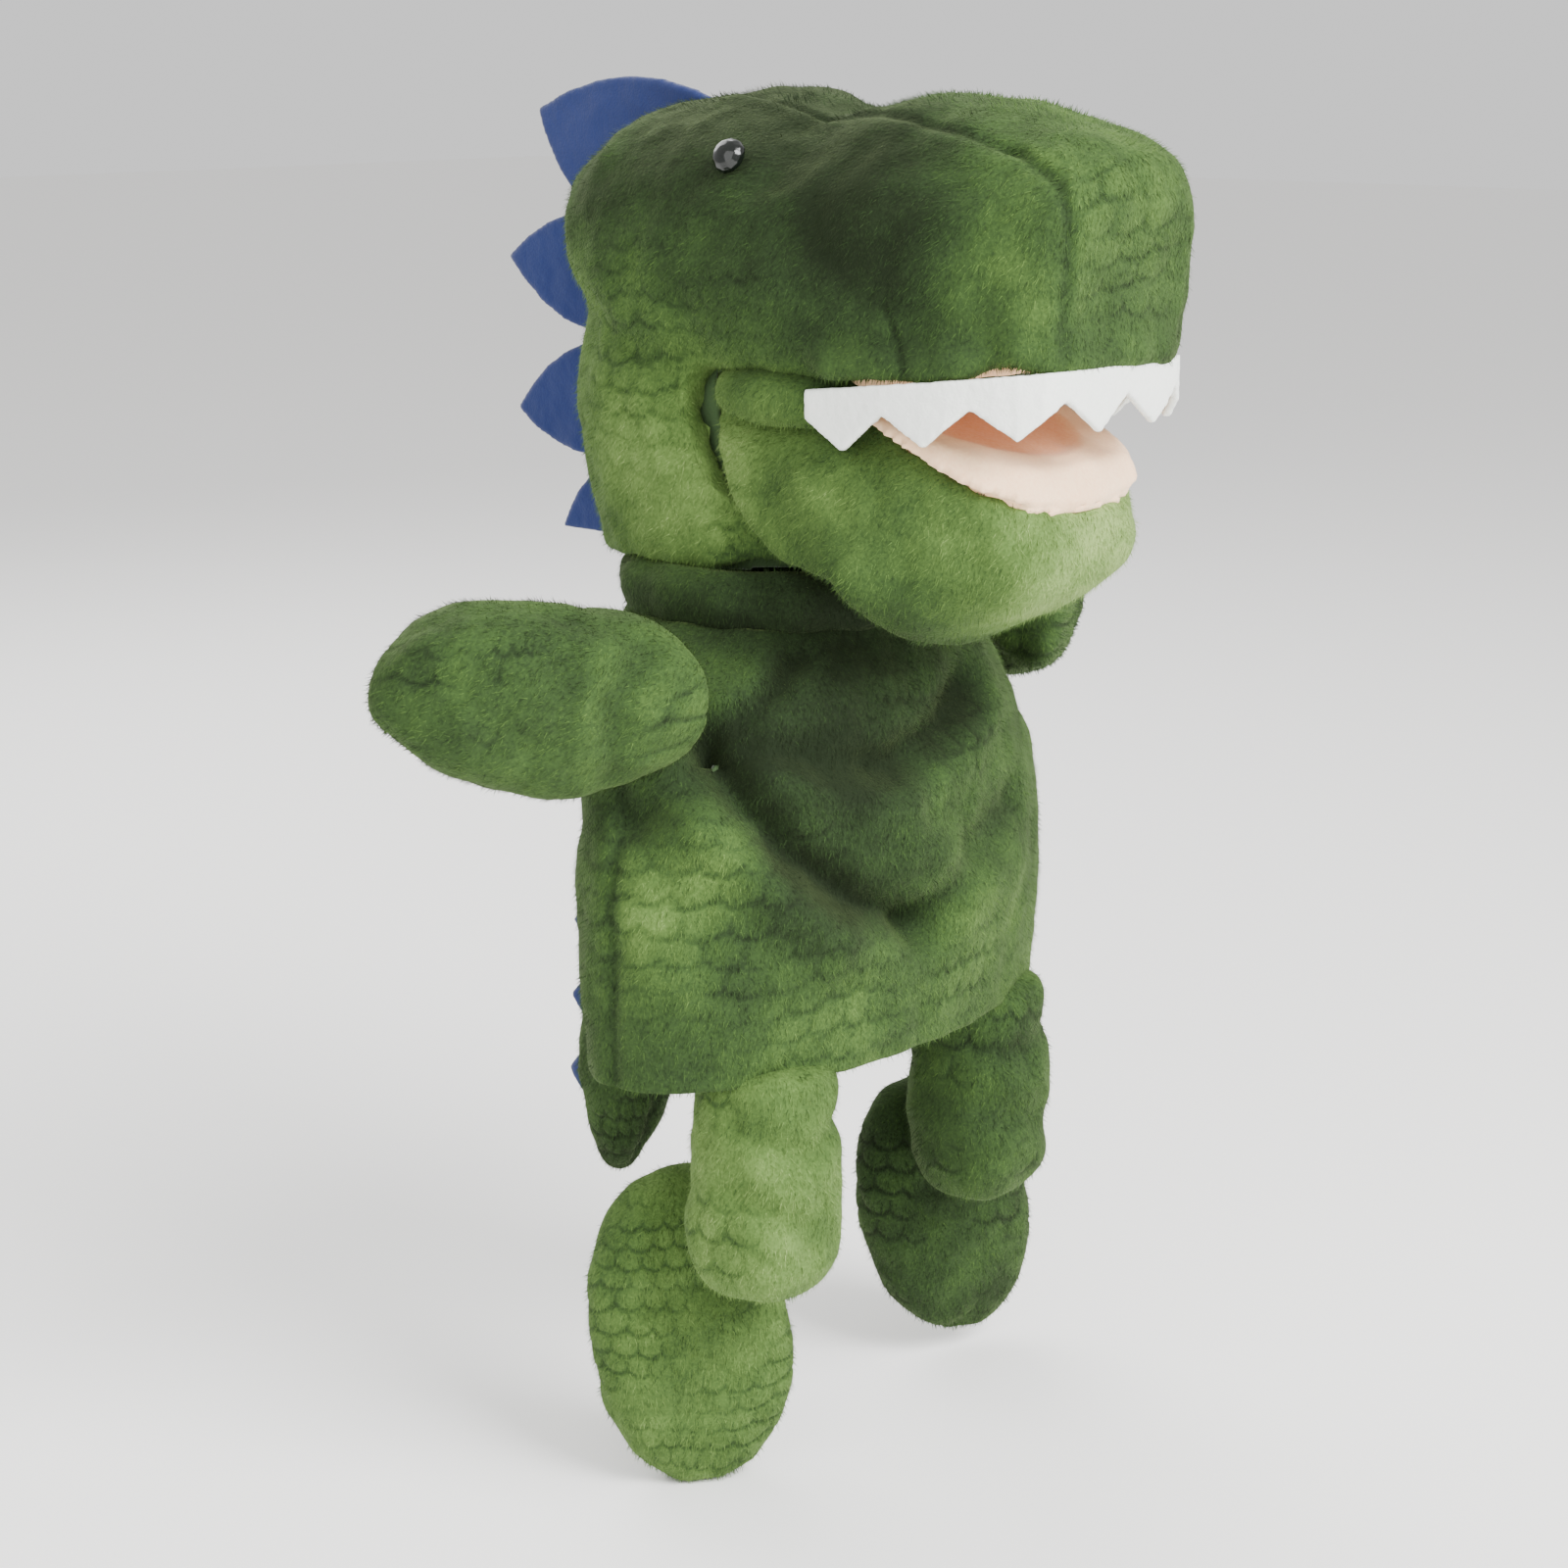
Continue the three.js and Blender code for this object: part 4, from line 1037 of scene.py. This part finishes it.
count = sleeve["rows"] * walls["across"]
shape = (sleeve["rows"], walls["across"], 3)
outerGrid = points(bodyPiece.data)[:count].reshape(shape)
sleeveOutward = normals(bodyPiece.data)[:count].reshape(shape)
heights = outerGrid[:, :, 2].mean(1) / mm
hemRow, liningRow = (int(np.searchsorted(heights, layers[k])) for k in ("hemTop", "liningTop"))
layerInside("sleeve_lining_cloth", hemRow, liningRow, layers["lining"])
layerInside("hem_band_cloth", 1, hemRow - 1, layers["hem"])
print("sleeve layers placed")


# Collar of plush between the sleeve and the head: radius and height in mm, from the bottom up
collar = {
    "back": 14,
    "profile": [(29, 97), (33, 96.5), (36.5, 99), (38.5, 103.5), (38, 108), (35, 111.5), (30, 111)],
    "rows": 26,
    "around": 120,
    "thick": 2.0,
    "lay": (0, 0.1, -1),
}


def laidDown(outward, way):
    # the direction of the pile on the surface
    return np.array(way) - outward * (outward @ np.array(way))[:, None]


def buildCollar():
    rows, around = [], collar["around"]
    profile = collar["profile"]
    steps = np.linspace(0, len(profile) - 1, collar["rows"])
    radius = np.interp(steps, range(len(profile)), [p[0] for p in profile])
    height = np.interp(steps, range(len(profile)), [p[1] for p in profile])
    for r, z in zip(radius, height):
        turn = np.linspace(0, 2 * math.pi, around, endpoint=False)
        ruffle = 1 + 0.012 * np.sin(turn * 9 + 1.3) + 0.01 * np.sin(turn * 14)
        ring = [np.sin(turn) * r * ruffle, collar["back"] - np.cos(turn) * r * ruffle, np.full(around, z)]
        rows.append(np.stack(ring, 1) * mm)
    piece = linked("neck_plush", bpy.data.meshes.new("neck_plush"))
    piece.data.from_pydata(np.concatenate(rows).tolist(), [], gridFaces(len(rows), around))
    piece.data.update()
    relax(piece, 6)
    places, outward = points(piece.data), normals(piece.data)
    setPoints(piece.data, places - outward * (0.5 * roughness(places, 9, 2, 51.0))[:, None] * mm)
    # painted shade: the collar, in the shade of the head, is set darker than its dye patches and darkened all
    # over
    store(piece.data, "tone", dyeTone(places, 0.3) - 0.08)
    store(piece.data, "groove", np.full(len(places), 0.2))
    store(piece.data, "nap", laidDown(outward, collar["lay"]), "FLOAT_VECTOR")
    coat = growPile(piece, "plushPile", seed=31)
    closeWall(piece, collar["thick"], around)
    dress(piece, "plush")
    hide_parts("neck_panel")
    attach(piece, "neck")
    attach(coat, "neck")


buildCollar()
print("collar placed")


# The web of plush in the corners of the mouth bends between the head and the jaw
web = {
    "middle": (0, -11, 151.5),
    "half": (37.8, 23, 8.5),
    "square": (0.45, 0.8, 0.8),
    "from": (0, -15, 158),
    "to": (0, -15, 146),
    "lay": (0, 0.4, -1),
    "fill": 0.4,
}


def buildWeb():
    work = bmesh.new()
    bmesh.ops.create_uvsphere(work, u_segments=96, v_segments=64, radius=1.0)
    mesh = bpy.data.meshes.new("cheek_plush")
    work.to_mesh(mesh)
    work.free()
    piece = linked("cheek_plush", mesh)
    places = points(mesh)
    places = np.sign(places) * np.abs(places) ** web["square"]
    setPoints(mesh, (places * web["half"] + web["middle"]) * mm)
    places, outward = points(mesh), normals(mesh)
    setPoints(mesh, places - outward * (0.4 * roughness(places, 8, 2, 53.0))[:, None] * mm)
    # painted shade: the web in the corners of the mouth is set a little darker than its dye patches
    store(mesh, "tone", dyeTone(places, 0.45) - 0.05)
    store(mesh, "groove", np.full(len(places), 0.05))
    store(mesh, "nap", laidDown(outward, web["lay"]), "FLOAT_VECTOR")
    coat = growPile(piece, "plushPile", seed=37)
    dress(piece, "plush")
    start, end = (tuple(np.array(web[k]) * mm) for k in ("from", "to"))
    for one in (piece, coat):
        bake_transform(one, "head", "jaw", start=start, end=end)


buildWeb()
print("web placed")


# Smaller soft pieces: copies of their CAD solids with rounded edges and a cloth surface
small = {
    # name: node, body, voxel, rounds of easing, finish, slot
    "mouth_fleece_upper": ("mouth_lining_upper", "head", 0.9, 6, "fleece", "peach_fleece"),
    "mouth_fleece_lower": ("mouth_lining_lower", "jaw", 0.9, 6, "fleece", "peach_fleece"),
    "tooth_felt": ("teeth_strip", "head", 0.6, 3, "whiteFelt", "white_felt"),
    "finger_pocket_cloth": ("finger_pocket", "head", 0.9, 3, "lining", "lining_cloth"),
    "thumb_pocket_cloth": ("thumb_pocket", "jaw", 0.9, 3, "lining", "lining_cloth"),
    "care_label_ribbon": ("care_label", "torso", 0.35, 1, "satin", "label_satin"),
    "eye_dome_right": ("eye_right", "head", 0.28, 30, "eye", "safety_eye"),
    "eye_dome_left": ("eye_left", "head", 0.28, 30, "eye", "safety_eye"),
}
spikeBody = {k: "head" if k < 5 else "torso" if k < 8 else "tail" for k in range(1, 11)}
for k, body in spikeBody.items():
    small[f"spike_{k}_felt"] = (f"spike_{k}", body, 0.8, 3, "blueFelt", "blue_felt")


# Surface of the felt and the fleece, and the place of the upper lining behind the teeth, in mm
feltFacts = {"wave": 0.35, "waveSize": 9, "fuzz": 0.12, "fuzzSize": 1.5, "spikeIn": 1.6, "topSpikeDown": 2.5}
# the fleece's base tone is painted shade inside the mouth, and its rim is painted lighter as lit
fleeceFacts = {"tone": 0.3, "rimTone": 0.45, "rimLift": 0.9, "pile": 0.35, "pileSize": 7}
tuckFacts = {"wide": 0.9, "back": -28, "long": 0.93}


def rimTone(places):
    # 1 on the padded rim round the lower lip, 0 inside it. It lifts the rim, and sets the painted light on
    # the rim and the painted shade inside the mouth.
    reach = np.hypot(places[:, 0] / mm / 31, np.minimum(places[:, 1] / mm + 34, 0) / 39)
    return np.clip((reach - 0.7) / 0.12, 0, 1)


for name, (node, body, voxel, rounds, material, slot) in small.items():
    piece = copyOf(name, [node])
    remesh(piece, voxel)
    relax(piece, rounds)
    places, outward = points(piece.data), normals(piece.data)
    tone = np.full(len(places), 0.4)
    if material == "fleece":
        rim = rimTone(places)
        # painted light and shade: lighter on the lip's rim, darker inside the mouth where the upper jaw
        # shades it
        tone = fleeceFacts["tone"] + fleeceFacts["rimTone"] * rim
        lift = fleeceFacts["rimLift"] * soft(np.abs(rim - 0.9), 0.5)
        lift += fleeceFacts["pile"] * roughness(places, fleeceFacts["pileSize"], 2, 61.0)
        setPoints(piece.data, places + outward * lift[:, None] * mm)
    elif material in ("blueFelt", "whiteFelt"):
        wave = feltFacts["wave"] * roughness(places, feltFacts["waveSize"], 2, 63.0)
        places[:, 0] += wave * mm * (1 if material == "blueFelt" else 0.5)
        fuzz = feltFacts["fuzz"] * roughness(places, feltFacts["fuzzSize"], 2, 65.0)
        setPoints(piece.data, places + outward * fuzz[:, None] * mm)
    if node == "mouth_lining_upper":  # it tucks in behind the teeth
        tuck = points(piece.data)
        back = tuckFacts["back"] * mm
        tuck[:, 0] *= tuckFacts["wide"]
        tuck[:, 1] = back + (tuck[:, 1] - back) * tuckFacts["long"]
        setPoints(piece.data, tuck)
    if node == "mouth_lining_lower":
        setPoints(piece.data, dropJaw(points(piece.data)))
    if material == "blueFelt":  # each spike's root is sewn into the back seam
        down = feltFacts["topSpikeDown"] if node == "spike_1" else 0
        setPoints(piece.data, points(piece.data) - np.array((0, feltFacts["spikeIn"], down)) * mm)
    store(piece.data, "tone", tone)
    dress(piece, material)
    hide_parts(node)
    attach(piece, body)
bpy.data.objects.remove(hair)
print("small pieces placed")

# CAD nodes that keep their shape
for node in ("palate_board_upper", "palate_board_lower", "eye_washer_right", "eye_washer_left"):
    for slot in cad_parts[node].material_slots:
        slot.material = finish["board"]
